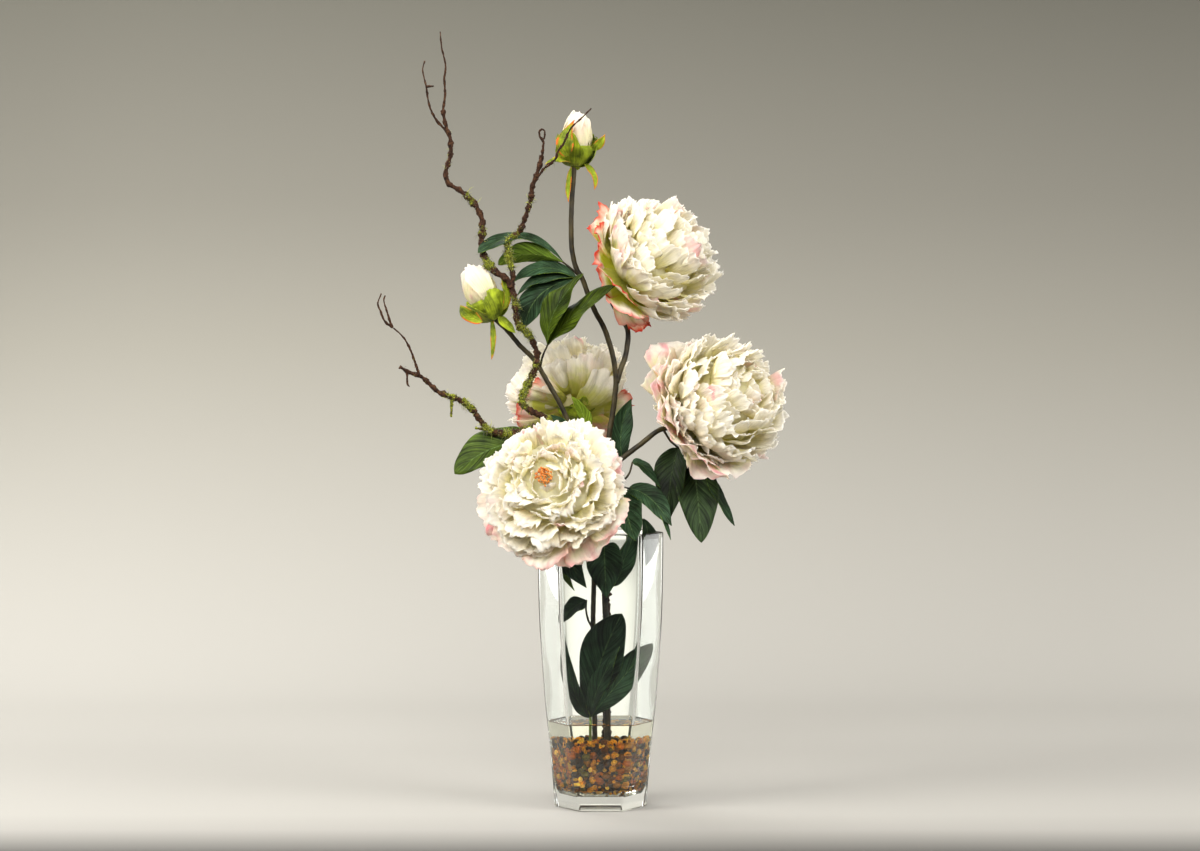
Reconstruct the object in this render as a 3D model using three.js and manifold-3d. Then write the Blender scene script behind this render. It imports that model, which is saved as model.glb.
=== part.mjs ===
// Peonies in a six-sided glass vase, in millimetres with +Z up. The origin is the middle of the
// vase's foot, and the arrangement is seen from -Y.
import * as THREE from 'three';
import { mergeVertices } from 'three/addons/utils/BufferGeometryUtils.js';
import Module from 'manifold-3d';

const wasm = await Module();
wasm.setup();

// Driving dimensions
const GAP = 0.3; // between two pieces that touch
const BLADE = 0.8; // thickness of leaves, petals and sepals
const CRUMB = 4; // the largest loose scrap, in cubic millimetres, that joining may leave out
const SLIVER = 0.03; // a surface may shift by this when needless points are dropped
const EYE = { distance: 3000, height: 430 }; // where the arrangement is seen from
const VASE = { height: 275, wall: 3, floor: 14 };
const WATER_LEVEL = 85;
const PEBBLES = { top: 68, size: 10, relief: 3.4 };
const STEM_FOOT = 24; // how low the stems reach among the pebbles
const STEM_RADIUS = { tall: 3.2, left: 2.6, fork: 2.8, low: 1.4, end: 2.4 };
const LIMB_RADIUS = { root: 3, tip: 1.7, twigRoot: 1.1, twigTip: 0.7 };
const STALK_RADIUS = { root: 1.2, tip: 1 };
const LEAF_OUTLINE = { full: 2.57, towardsBase: 0.75, towardsTip: 0.62, tip: 0.7 };
const CORE = 0.6; // a bloom's core, as a share of its radius
const BUD_CORE = 0.86;
const BUD_FOOT = { start: 0.6, end: 1.04, radius: 0.2 }; // how far behind the heart it stands
const PETAL_WIDTH = { root: 0.45, spread: 0.55, tipRounding: 0.12 };
const CALYX = { radius: 11.5, neck: 4.2, depth: 11, sepals: 5, reach: 26, longer: 8 };
const CALYX_WALL = 1.2; // the cup round a bud

// The vase's outer plan at some heights: half its width at the side edges, half the width of
// its front face, and half its depth.
const VASE_PLANS = [
  { height: 0, width: 46.7, face: 21.4, depth: 40 },
  { height: 67, width: 52.2, face: 30, depth: 44 },
  { height: 97, width: 55.6, face: 33.6, depth: 46 },
  { height: 147, width: 59.5, face: 37, depth: 49.5 },
  { height: 195, width: 62.2, face: 40, depth: 52 },
  { height: 247, width: 63.2, face: 41.2, depth: 53.6 },
  { height: VASE.height, width: 63.4, face: 41.5, depth: 54 },
];

function material(color, roughness, metalness = 0, opacity = 1) {
  return new THREE.MeshStandardMaterial({
    color, roughness, metalness, opacity, transparent: opacity < 1,
  });
}

const GLASS = material('#e9f0ec', 0.03, 0, 0.3);
const WATER = material('#f2efdc', 0.02, 0, 0.4);
const PEBBLE = material('#a8681f', 0.5);
const STEM = material('#3d3520', 0.6);
const GREEN_STEM = material('#6f8a2a', 0.6);
const LEAF = material('#24452f', 0.65);
const BARK = material('#4a3022', 0.9);
const PETAL = material('#f6f2e4', 0.8);
const SEPAL = material('#86a534', 0.7);
const STAMEN = material('#e08a1c', 0.7);

const group = new THREE.Group();

function random(seed) {
  // A small repeatable random number source, from 0 to 1.
  let state = seed * 2654435761;
  return () => {
    state = (Math.imul(state ^ (state >>> 15), 2246822519) + 374761393) >>> 0;
    return ((state ^ (state >>> 13)) >>> 0) / 4294967296;
  };
}

function seen([x, z, depth = 0]) {
  // The point that lines up from the eye with x and z on the vase's middle plane, at a depth.
  const spread = (EYE.distance + depth) / EYE.distance;
  return new THREE.Vector3(x * spread, depth, EYE.height + (z - EYE.height) * spread);
}

// Solids

function toSolid(geometry) {
  // A closed body with its faces turned outwards.
  const plain = geometry.clone();
  plain.deleteAttribute('normal');
  plain.deleteAttribute('uv');
  const merged = mergeVertices(plain, 1e-4);
  const points = merged.attributes.position.array;
  const triangles = merged.index.array;
  let volume = 0;
  for (let i = 0; i < triangles.length; i += 3) {
    const [a, b, c] = [0, 1, 2].map((k) => (
      new THREE.Vector3().fromArray(points, 3 * triangles[i + k])
    ));
    volume += a.dot(b.cross(c));
  }
  if (volume < 0) triangles.reverse();
  return new wasm.Manifold(new wasm.Mesh({
    numProp: 3, vertProperties: new Float32Array(points), triVerts: new Uint32Array(triangles),
  }));
}

function fuse(solids) {
  return solids.reduce((whole, solid) => whole.add(solid));
}

function whole(name, solid) {
  // The one body of a joined solid, with only crumbs left out and no needless points.
  const bodies = solid.decompose().sort((one, other) => other.volume() - one.volume());
  if (bodies.length > 1 && bodies[1].volume() > CRUMB) {
    const { min, max } = bodies[1].boundingBox();
    throw new Error(`${name} falls apart at ${min} to ${max}`);
  }
  return bodies[0].asOriginal().simplify(SLIVER);
}

function addMesh(name, solid, look) {
  const { vertProperties, triVerts } = whole(name, solid).getMesh();
  const geometry = new THREE.BufferGeometry();
  geometry.setAttribute('position', new THREE.BufferAttribute(vertProperties, 3));
  geometry.setIndex(new THREE.BufferAttribute(triVerts, 1));
  const mesh = new THREE.Mesh(geometry, look);
  mesh.name = name;
  group.add(mesh);
}

function bodyFrom(points, triangles) {
  const geometry = new THREE.BufferGeometry();
  geometry.setAttribute('position', new THREE.Float32BufferAttribute(
    points.flatMap((point) => point.toArray()), 3,
  ));
  geometry.setIndex(triangles);
  return geometry;
}

function loft(rings) {
  // Rings of equally many points, skinned one to the next and closed with a fan at each end.
  const sides = rings[0].length;
  const points = rings.flat();
  const middle = (ring) => (
    ring.reduce((sum, point) => sum.add(point), new THREE.Vector3()).divideScalar(sides)
  );
  const last = rings.length - 1;
  const first = points.push(middle(rings[0])) - 1;
  const end = points.push(middle(rings[last])) - 1;
  const triangles = [];
  for (let side = 0; side < sides; side += 1) {
    const next = (side + 1) % sides;
    for (let ring = 0; ring < last; ring += 1) {
      const [a, b] = [ring * sides + side, ring * sides + next];
      triangles.push(a, b, b + sides, a, b + sides, a + sides);
    }
    triangles.push(first, next, side, end, last * sides + side, last * sides + next);
  }
  return toSolid(bodyFrom(points, triangles));
}

function sheet(rows) {
  // A thin blade from a grid of points: both faces lie half its thickness to each side of the
  // grid and are split into triangles alike.
  const across = rows[0].length;
  const at = (i, j) => rows[Math.min(Math.max(i, 0), rows.length - 1)][
    Math.min(Math.max(j, 0), across - 1)];
  const faces = [[], []];
  rows.forEach((row, i) => row.forEach((point, j) => {
    const along = at(i + 1, j).clone().sub(at(i - 1, j));
    const over = at(i, j + 1).clone().sub(at(i, j - 1));
    const normal = along.cross(over).normalize().multiplyScalar(BLADE / 2);
    faces[0].push(point.clone().add(normal));
    faces[1].push(point.clone().sub(normal));
  }));
  const back = rows.length * across;
  const triangles = [];
  for (let i = 0; i + 1 < rows.length; i += 1) {
    for (let j = 0; j + 1 < across; j += 1) {
      const [a, b] = [i * across + j, (i + 1) * across + j];
      triangles.push(a, b, b + 1, a, b + 1, a + 1);
      triangles.push(back + a, back + b + 1, back + b, back + a, back + a + 1, back + b + 1);
    }
  }
  const last = rows.length - 1;
  const rim = [
    ...Array.from({ length: last }, (_, i) => i * across),
    ...Array.from({ length: across - 1 }, (_, j) => last * across + j),
    ...Array.from({ length: last }, (_, i) => (last - i) * across + across - 1),
    ...Array.from({ length: across - 1 }, (_, j) => across - 1 - j),
  ];
  rim.forEach((a, k) => {
    const b = rim[(k + 1) % rim.length];
    triangles.push(a, back + a, back + b, a, back + b, b);
  });
  return toSolid(bodyFrom([...faces[0], ...faces[1]], triangles));
}

function tube(points, startRadius, endRadius, { sides = 6, steps, extra = 0 }) {
  // A tapered round stem along a smooth curve through the points, made fatter and longer at both
  // ends by the extra.
  const curve = new THREE.CatmullRomCurve3(points, false, 'centripetal');
  const { tangents, normals, binormals } = curve.computeFrenetFrames(steps, false);
  const rings = Array.from({ length: steps + 1 }, (_, i) => {
    const over = { 0: -extra, [steps]: extra }[i] ?? 0;
    const centre = curve.getPointAt(i / steps).addScaledVector(tangents[i], over);
    const radius = extra + THREE.MathUtils.lerp(startRadius, endRadius, i / steps);
    return Array.from({ length: sides }, (_, k) => {
      const turn = (2 * Math.PI * k) / sides;
      return centre.clone()
        .addScaledVector(normals[i], radius * Math.cos(turn))
        .addScaledVector(binormals[i], radius * Math.sin(turn));
    });
  });
  return loft(rings);
}

// Vase, water and pebbles

function planAt(height, inset) {
  // The vase's six-sided plan at a height, moved inwards by an even inset.
  const above = Math.max(1, VASE_PLANS.findIndex((plan) => plan.height >= height));
  const [low, high] = [VASE_PLANS[above - 1], VASE_PLANS[above]];
  const share = (height - low.height) / (high.height - low.height);
  const mixed = (key) => THREE.MathUtils.lerp(low[key], high[key], share);
  const [width, face, depth] = [mixed('width'), mixed('face'), mixed('depth')];
  const innerWidth = width - (inset * Math.hypot(width - face, depth)) / depth;
  const innerDepth = depth - inset;
  const innerFace = innerWidth - ((width - face) * innerDepth) / depth;
  return { width: innerWidth, face: innerFace, depth: innerDepth };
}

function hexagon(height, inset, shrink = 1) {
  const { width, face, depth } = planAt(height, inset);
  return [
    [width, 0], [face, depth], [-face, depth], [-width, 0], [-face, -depth], [face, -depth],
  ].map(([x, y]) => new THREE.Vector3(x * shrink, y * shrink, height));
}

function cavity(floor, top, inset, over = 0) {
  // The inside of the vase, rounded in to its floor. It may run straight up over the top.
  const heights = VASE_PLANS.map((plan) => plan.height);
  const between = heights.filter((height) => height > floor + 20 && height < top - 1);
  return loft([
    hexagon(floor, inset, 0.8),
    hexagon(floor + 2.5, inset, 0.91),
    hexagon(floor + 7, inset, 0.98),
    hexagon(floor + 14, inset),
    ...between.map((height) => hexagon(height, inset)),
    hexagon(top, inset),
    ...(over ? [hexagon(top, inset).map((point) => point.setZ(top + over))] : []),
  ]);
}

function vase() {
  const outside = loft(VASE_PLANS.map(({ height }) => hexagon(height, 0)));
  return outside.subtract(cavity(VASE.floor, VASE.height, VASE.wall, 5));
}

function pebbles() {
  // A bed of pebbles, raised as relief on one body: along the glass and over the top every
  // second point of a staggered net stands out as a pebble's crown.
  const next = random(5);
  const perSide = 4;
  const ring = (height, shrink, row) => {
    const corners = hexagon(height, VASE.wall + GAP);
    return Array.from({ length: 6 * perSide }, (_, k) => {
      const corner = Math.floor(k / perSide);
      const point = corners[corner].clone()
        .lerp(corners[(corner + 1) % 6], (k % perSide) / perSide)
        .multiplyScalar(shrink).setZ(height);
      const sunk = (row + k) % 2 ? PEBBLES.relief * (0.7 + 0.6 * next()) : 0;
      const side = Math.hypot(point.x, point.y);
      return shrink < 1
        ? point.setZ(height - sunk - next())
        : point.multiply(new THREE.Vector3(1 - sunk / side, 1 - sunk / side, 1));
    });
  };
  const rows = Math.round((PEBBLES.top - VASE.floor) / PEBBLES.size);
  const wallRings = Array.from({ length: rows }, (_, row) => {
    const height = VASE.floor + 7.5 + row * PEBBLES.size;
    return ring(height, 1, row);
  });
  const topRings = [0.78, 0.52, 0.26].map((shrink, row) => (
    ring(PEBBLES.top - (row % 2), shrink, rows + row)
  ));
  const floorRing = ring(VASE.floor + GAP, 0.78, 0).map((point) => point.setZ(VASE.floor + GAP));
  return loft([floorRing, ...wallRings, ...topRings]);
}

// Stems: each route is seen from the front as x, z and depth.

const TALL_STEM = [
  [7, STEM_FOOT, -3], [7, 69, -3], [7, 107, -3], [6.5, 157, -3], [4.5, 207, -3], [4.5, 247, -2],
  [5.5, 287, 0], [6.5, 337, 2], [8.9, 373.7, 2], [11.9, 391.7, 2], [15, 416.7, 2],
  [15.5, 428.2, 2], [11.9, 452.7, 1], [3.5, 478.7, 0], [-7.1, 498.7, 0], [-19.5, 530.7, 0],
  [-23.5, 536.7, 0], [-28.2, 554.7, 0], [-29.1, 594.7, 0], [-26.5, 634, 0],
];
const UPPER_FORK = [
  [16, 424, 2], [19.2, 434.7, 4], [25.3, 452.7, 8], [27.1, 476.7, 12], [20, 491, 15],
  [11.5, 505, 16.5], [11.5, 515, 15.5], [15.5, 520.5, 13.3], [21.8, 524, 11.5],
];
const RIGHT_FORK = [
  [7.5, 326.7, 2], [12, 340, 4], [24.5, 350.7, 6], [39.5, 362, 8], [57, 375.7, 9],
  [70, 380, 18], [79, 383.5, 24], [86, 387.5, 24.5], [92.1, 390.5, 18.7],
];
const LEFT_STEM = [
  [-5.5, STEM_FOOT, -2], [-5.5, 68.7, -2], [-6.5, 126.7, -2], [-7.5, 181.7, -1],
  [-6.5, 226.7, 0], [-5.5, 276.7, 3], [-12.5, 326.7, 8], [-25.5, 366.7, 10],
  [-37.8, 397.7, 10], [-53.5, 425.7, 9], [-66.9, 447.7, 7], [-80.5, 461.2, 4],
  [-93.5, 476.7, 0], [-104.5, 487, 0],
];
const BACK_FORK = [
  [-17, 344.7, 9], [-15, 358, 16], [-15, 372, 30], [-18, 384, 45], [-22.6, 394.2, 58.6],
];
const FRONT_FORK = [
  [-7, 285, 3], [-12, 298, -3], [-22, 306, -15], [-36, 309.5, -33], [-42.6, 310.6, -44.5],
];
const LOW_STEM = [[-10, STEM_FOOT, -9], [-10, 60, -9], [-10, 86, -9]];

function tallStem(extra = 0) {
  return fuse([
    tube(TALL_STEM.map(seen), STEM_RADIUS.tall, STEM_RADIUS.end, { steps: 26, extra }),
    tube(UPPER_FORK.map(seen), STEM_RADIUS.fork, STEM_RADIUS.end, { steps: 12, extra }),
    tube(RIGHT_FORK.map(seen), STEM_RADIUS.fork, STEM_RADIUS.end, { steps: 8, extra }),
  ]);
}

function leftStem(extra = 0) {
  return fuse([
    tube(LEFT_STEM.map(seen), STEM_RADIUS.left, STEM_RADIUS.end, { steps: 18, extra }),
    tube(BACK_FORK.map(seen), STEM_RADIUS.end, STEM_RADIUS.end, { steps: 5, extra }),
    tube(FRONT_FORK.map(seen), STEM_RADIUS.end, STEM_RADIUS.end, { steps: 5, extra }),
  ]);
}

function lowStem(extra = 0) {
  return tube(LOW_STEM.map(seen), STEM_RADIUS.low, STEM_RADIUS.low, { steps: 2, extra });
}

// The curly branch: its main limb rises from the vase, and the two others fork from it.

const MAIN_LIMB = [
  [6, STEM_FOOT, 10], [6, 110, 10], [6, 206, 10], [0, 276, 14], [-20, 330, 20],
  [-36, 368, 12], [-53, 387.7, -4], [-70.9, 396.7, -8], [-78.5, 404.7, -8],
  [-76, 415.7, -7], [-68.5, 430.7, -6], [-63.2, 450.2, -6], [-70.9, 470.7, -8],
  [-82.7, 483.7, -12], [-85.5, 505.7, -14], [-88.5, 519.7, -14], [-87.5, 529.7, -14],
  [-92.5, 554.7, -14], [-92.5, 565.7, -14], [-81.5, 574.7, -16], [-74.7, 590.7, -18],
  [-69.7, 607.7, -20], [-68, 620.7, -22], [-61.5, 638.7, -24], [-58.1, 653.7, -24],
  [-56.5, 668, -24],
];
const TALL_LIMB = [
  [-88.5, 519.7, -14], [-94.1, 527.7, -14], [-104.7, 534.7, -12], [-113.5, 544.7, -10],
  [-118.5, 558.7, -8], [-118.6, 587.7, -6], [-126.1, 602.7, -5], [-137.7, 614.2, -4],
  [-152.5, 624.2, -3], [-154.5, 634.1, -2], [-150.1, 650.7, 0], [-150.1, 667.7, 0],
  [-154.5, 680.7, 0], [-157.6, 696.3, 0],
];
const LOW_LIMB = [
  [-50, 386.5, -1], [-60, 380.5, -2], [-81.1, 374.7, -2], [-100.5, 373.7, -3], [-113, 377.7, -4],
  [-120.5, 386.7, -5], [-128.5, 397.7, -6], [-138.5, 405.7, -7], [-151.5, 410.7, -8],
  [-161.5, 414.7, -8], [-180.5, 431, -9], [-189.5, 433.7, -10], [-201, 440, -10],
];
const TWIGS = [
  [[-157.6, 694, 0], [-155.1, 712.1, 1], [-155.9, 727, 0], [-154.6, 740.3, -1],
    [-158.5, 758.7, 0], [-160.1, 774.3, 2]],
  [[-152.5, 674, 0], [-164.5, 687.2, -1], [-170.8, 700.7, -2], [-174.2, 720.7, -1],
    [-177.5, 736.7, 0], [-175.5, 745.2, 1]],
  [[-174.2, 719.7, -1], [-166.5, 720.2, -3]],
  [[-68, 620.7, -22], [-56.5, 637.7, -26], [-44.8, 647.7, -29], [-43.2, 653.7, -30],
    [-36.5, 663.7, -31], [-29.9, 677.7, -31], [-18.5, 688.7, -30], [-9.2, 698, -28]],
  [[-111, 377, -4], [-125.5, 378.7, -6]],
  [[-181, 431.5, -9], [-185.7, 445.1, -9], [-189.5, 455.7, -10], [-195.9, 468, -10],
    [-204.8, 477, -9], [-209.9, 480.7, -9]],
  [[-208.5, 479.5, -9], [-213.7, 496.1, -8], [-216.5, 506.7, -7], [-215.2, 511.4, -7]],
  [[-207.5, 479.3, -9], [-215, 484.7, -10], [-220.1, 496.1, -11], [-222.5, 502.7, -11],
    [-219.1, 513.3, -10]],
  [[-193.5, 434.5, -10], [-192.7, 422.1, -10], [-190.8, 420.2, -10]],
  [[-148.7, 409.5, -8], [-149.2, 389.7, -8]],
];

function mainLimb(extra = 0) {
  return tube(MAIN_LIMB.map(seen), LIMB_RADIUS.root, LIMB_RADIUS.tip, { sides: 5, steps: 30, extra });
}

function branch() {
  return fuse([
    mainLimb(),
    tube(TALL_LIMB.map(seen), LIMB_RADIUS.root, LIMB_RADIUS.tip, { sides: 5, steps: 17 }),
    tube(LOW_LIMB.map(seen), LIMB_RADIUS.root, LIMB_RADIUS.tip, { sides: 5, steps: 14 }),
    ...TWIGS.map((twig) => (
      tube(twig.map(seen), LIMB_RADIUS.twigRoot, LIMB_RADIUS.twigTip, {
        sides: 3, steps: twig.length - 1,
      })
    )),
  ]);
}

// Leaves: a leaf's middle line runs from its base over its middle to its tip. Its upper side
// looks along face, and its two halves are folded up from the middle line.

function leaf({ base, middle, tip, width, face, fold = 0.25, wave = 1.2, rows = 4 }) {
  const [start, through, end] = [base, middle, tip].map(seen);
  const control = through.clone().multiplyScalar(2).addScaledVector(start, -0.5)
    .addScaledVector(end, -0.5);
  const curve = new THREE.QuadraticBezierCurve3(start, control, end);
  const upper = new THREE.Vector3(...face).normalize();
  return sheet(Array.from({ length: rows + 1 }, (_, i) => {
    const u = i / rows;
    const along = curve.getTangent(u);
    const side = along.clone().cross(upper).normalize();
    const normal = side.clone().cross(along);
    const outline = LEAF_OUTLINE.full * u ** LEAF_OUTLINE.towardsBase
      * (1 - u) ** LEAF_OUTLINE.towardsTip;
    const half = Math.max((width / 2) * outline, LEAF_OUTLINE.tip);
    return [-1, 0, 1].map((v) => (
      curve.getPoint(u)
        .addScaledVector(side, v * half)
        .addScaledVector(normal, Math.abs(v) * (fold * half + wave * Math.sin(9 * u + v)))
    ));
  }));
}

const UPPER_LEAVES = {
  stalks: [[[-20, 529, -4.6], [-28, 537, -7], [-38, 545, -7]], [[-20, 529, -4.6], [-26, 529, -5]]],
  leaves: [
    { base: [-36, 543.4, -7], middle: [-70, 571, -9], tip: [-121, 555, -14], width: 20,
      face: [-0.2, -0.5, 0.8] },
    { base: [-37, 544.2, -7], middle: [-72, 560, -2], tip: [-101, 542, 0], width: 20,
      face: [0, 0.75, 0.65] },
    { base: [-24, 529, -5], middle: [-54, 542, -3], tip: [-87, 522, -2], width: 17,
      face: [-0.1, -0.6, 0.8] },
    { base: [-23, 529, -5], middle: [-56, 533, -3], tip: [-83, 509, -3], width: 13,
      face: [0, -0.6, 0.8] },
    { base: [-23, 529, -5], middle: [-52, 519, -3], tip: [-76, 474, -2], width: 34,
      face: [-0.35, -0.8, 0.5] },
  ],
};
const MIDDLE_LEAVES = {
  stalks: [[[-60.5, 438.7, 8], [-58, 450, -4], [-52.5, 462.7, -17]]],
  leaves: [
    { base: [-53, 462, -17], middle: [-40, 497, -25], tip: [-17, 533, -27], width: 26,
      face: [-0.6, -0.7, 0.3] },
    { base: [-53, 461, -16], middle: [-26, 492, -29], tip: [15, 520, -42], width: 24,
      face: [-0.3, -0.75, 0.6] },
  ],
};
const LEFT_LEAVES = {
  stalks: [[[-22, 357, 8], [-34, 361, 1], [-52, 362, 0], [-72, 362, 0]]],
  leaves: [
    { base: [-60, 362, 0], middle: [-103.5, 360, -4], tip: [-146, 333, -6], width: 42,
      face: [-0.3, -0.8, 0.5] },
    { base: [-50, 362, 0], middle: [-66, 365, 2], tip: [-94, 362, 4], width: 14,
      face: [0, 0, 1] },
    { base: [-70, 362, 0], middle: [-95, 345, 6], tip: [-118, 318, 8], width: 16,
      face: [-0.4, -0.8, 0.4] },
    { base: [-30, 360, 3], middle: [-36, 378, -2], tip: [-50, 392, -4], width: 13,
      face: [-0.4, -0.7, 0.5] },
    { base: [-26, 358.5, 5], middle: [-18, 388, 0], tip: [-28, 411, -2], width: 8,
      face: [-0.3, -0.9, 0.2] },
  ],
};
const TALL_LEAF = {
  stalks: [[[14, 338, 4], [20, 343, 12], [23, 350, 16]]],
  leaves: [
    { base: [22, 346, 15], middle: [21, 378, 18], tip: [31, 408, 20], width: 21,
      face: [0.2, -0.9, 0.3] },
  ],
};
const RIGHT_LEAVES = {
  stalks: [
    [[7, 318, 2], [18, 320, -8], [30, 318, -14]],
    [[14, 319, -6], [28, 332, -6], [32, 345, -4]],
  ],
  leaves: [
    { base: [32, 344, -4], middle: [43, 340, -6], tip: [60, 319, -8], width: 12,
      face: [0.3, -0.8, 0.5] },
    { base: [28, 318, -13], middle: [50, 308, -22], tip: [71, 281, -24], width: 26,
      face: [0.2, -0.8, 0.5] },
    { base: [20, 319.7, -9.3], middle: [26, 293, -40], tip: [35, 266, -66], width: 33,
      face: [0.1, -0.75, 0.65], rows: 6 },
    { base: [29, 318, -13.5], middle: [56, 296, -20], tip: [70, 267, -30], width: 11,
      face: [0.6, -0.3, 0.7], rows: 3 },
  ],
};
const HANGING_LEAVES = {
  stalks: [[[63, 377, 13], [70, 366, 14], [78, 359, 15], [92, 350, 16], [104, 338, 16]]],
  leaves: [
    { base: [78, 359, 15], middle: [70, 324, 4], tip: [66, 277, -4], width: 33,
      face: [-0.3, -0.9, 0.2] },
    { base: [92, 350, 16], middle: [97, 312, 6], tip: [101, 264, -8], width: 41,
      face: [0.1, -0.95, 0.2] },
    { base: [104, 338, 16], middle: [120, 306, 4], tip: [134, 281, -6], width: 13,
      face: [0.5, -0.8, 0.2] },
  ],
};
const MOUTH_LEAVES = {
  stalks: [
    [[5, 205, -3], [7.5, 212, -8], [8, 222, -11], [8, 240, -12], [4, 262, -20]],
    [[8, 240, -12], [-3, 254, -16], [-14, 262, -18]],
    [[8, 235, -11.8], [24, 262, -8], [43, 288, -8]],
  ],
  leaves: [
    { base: [-14, 262, -18], middle: [-30, 250, -28], tip: [-14, 219, -34], width: 27,
      face: [-0.2, -0.9, 0.3] },
    { base: [4, 262, -20], middle: [4, 246, -34], tip: [6, 209, -38], width: 37,
      face: [0, -0.9, 0.4] },
    { base: [8, 221, -11], middle: [22, 244, -16], tip: [36, 282, -20], width: 25,
      face: [0.5, -0.8, -0.2] },
    { base: [43, 288, -8], middle: [48, 266, -8], tip: [43.5, 241, -6], width: 15,
      face: [0.3, -0.9, 0.3] },
    { base: [-14, 262, -18], middle: [-38, 248, -16], tip: [-26, 216, -12], width: 14,
      face: [0.3, 0.9, 0.2] },
  ],
};
const SMALL_LEAF = {
  stalks: [[[-7.5, 178, -1], [-12, 186, -6], [-14.5, 197, -8], [-14, 207, -9]]],
  leaves: [
    { base: [-14, 206, -9], middle: [-28, 198, -12], tip: [-40, 184, -14], width: 19,
      face: [-0.2, -0.8, 0.6] },
  ],
};
const LOW_LEAVES = {
  stalks: [[[-10, 86, -9], [-10.6, 90, -9.6], [-11, 96, -11]]],
  leaves: [
    { base: [-10.6, 89, -9.5], middle: [-1, 141, -14], tip: [21.5, 193, -18], width: 46,
      face: [-0.2, -0.95, 0.1], rows: 6 },
    { base: [-10.6, 89, -9.5], middle: [-1, 122, -22], tip: [19, 160, -26], width: 19,
      face: [-0.4, -0.85, 0.3] },
    { base: [-10.6, 89, -9.5], middle: [-27, 118, -17], tip: [-36.5, 172, -18], width: 16,
      face: [-0.5, -0.85, 0.1] },
    { base: [-10.6, 89, -9.5], middle: [19, 125, -18], tip: [50.5, 163, -4], width: 27,
      face: [0.2, -0.95, 0.2] },
  ],
};

function spray({ stalks, leaves }) {
  return fuse([
    ...stalks.map((stalk) => (
      tube(stalk.map(seen), STALK_RADIUS.root, STALK_RADIUS.tip, {
        sides: 4, steps: stalk.length,
      })
    )),
    ...leaves.map((blade) => leaf(blade)),
  ]);
}

// Flowers: a flower looks along its axis from a heart in its middle. A petal's middle line is
// drawn in a plane through the axis, by angles from the axis and distances from the heart, as
// shares of the flower's radius. Depth flattens the flower along its axis.

function flowerFrame({ centre, axis, radius, depth }) {
  const ahead = new THREE.Vector3(...axis).normalize();
  const right = new THREE.Vector3(0, 0, 1).cross(ahead);
  if (right.length() < 0.2) right.set(1, 0, 0);
  right.addScaledVector(ahead, -right.dot(ahead)).normalize();
  const up = ahead.clone().cross(right);
  const outward = (azimuth, angle) => (
    right.clone().multiplyScalar(Math.cos(azimuth)).addScaledVector(up, Math.sin(azimuth))
      .multiplyScalar(Math.sin(angle)).addScaledVector(ahead, depth * Math.cos(angle))
  );
  const sideways = (azimuth) => (
    right.clone().multiplyScalar(-Math.sin(azimuth)).addScaledVector(up, Math.cos(azimuth))
  );
  return { centre: seen(centre), radius, outward, sideways };
}

function petal(flower, { azimuth, line, half, cup, twist, ruffle, rows, columns, phase = 0 }) {
  const { centre, radius, outward, sideways } = flowerFrame(flower);
  const side = sideways(azimuth);
  const [start, middle, end] = line.map(([degrees, share]) => (
    new THREE.Vector2(THREE.MathUtils.degToRad(degrees), share * radius)
  ));
  const curve = new THREE.QuadraticBezierCurve(start, middle, end);
  return sheet(Array.from({ length: rows + 1 }, (_, i) => {
    const u = i / rows;
    return Array.from({ length: columns + 1 }, (_, j) => {
      const v = (2 * j) / columns - 1;
      const spot = curve.getPoint(u * (1 - PETAL_WIDTH.tipRounding * v * v));
      const width = half * radius
        * (PETAL_WIDTH.root + PETAL_WIDTH.spread * Math.sin(2 * Math.min(u, 0.9)));
      const direction = outward(azimuth, spot.x);
      const lift = twist * v - (cup * (v * width) ** 2) / (2 * radius * radius)
        + ruffle * u * u * Math.cos(5 * v + phase);
      return centre.clone()
        .addScaledVector(direction, spot.y + lift * radius)
        .addScaledVector(side, v * width);
    });
  }));
}

function ball(flower, share) {
  // The smaller core out of which the petals stand.
  const { centre, radius, outward } = flowerFrame(flower);
  const rings = [25, 60, 95, 130, 160].map((degrees) => (
    Array.from({ length: 8 }, (_, k) => (
      centre.clone().addScaledVector(
        outward((2 * Math.PI * k) / 8, THREE.MathUtils.degToRad(degrees)), share * radius,
      )
    ))
  ));
  return loft(rings);
}

const FULL_LAYERS = [
  { count: 6, line: [[138, 0.5], [124, 1.02], [98, 1.09]], fall: 8, half: 0.5, columns: 3 },
  { count: 6, line: [[118, 0.54], [100, 0.86], [70, 1]], fall: 0, half: 0.44, columns: 2 },
  { count: 5, line: [[92, 0.54], [75, 0.86], [46, 0.97]], fall: 0, half: 0.41, columns: 2 },
  { count: 4, line: [[62, 0.54], [50, 0.8], [27, 0.94]], fall: 0, half: 0.31, columns: 2 },
  { count: 2, line: [[36, 0.52], [27, 0.75], [14, 0.88]], fall: 0, half: 0.22, columns: 2 },
];
const OPEN_LAYERS = FULL_LAYERS.slice(0, -1);

function bloom(flower, layers, seed) {
  const next = random(seed);
  const blades = layers.flatMap(({ count, line, fall, ...shape }, layer) => (
    Array.from({ length: count }, (_, k) => petal(flower, {
      ...shape,
      rows: 2,
      azimuth: (2 * Math.PI * (k + 0.5 * layer + 0.3 * (next() - 0.5))) / count,
      line: line.map(([degrees, share], at) => [
        degrees + at * (3 * (next() - 0.5) + fall * (k % 2)),
        share * (1 + at * 0.02 * (next() - 0.5)),
      ]),
      cup: 0.7,
      twist: 0.06,
      ruffle: 0.03,
      phase: 6 * next(),
    }))
  ));
  return fuse([ball(flower, CORE), ...blades]);
}

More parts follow.
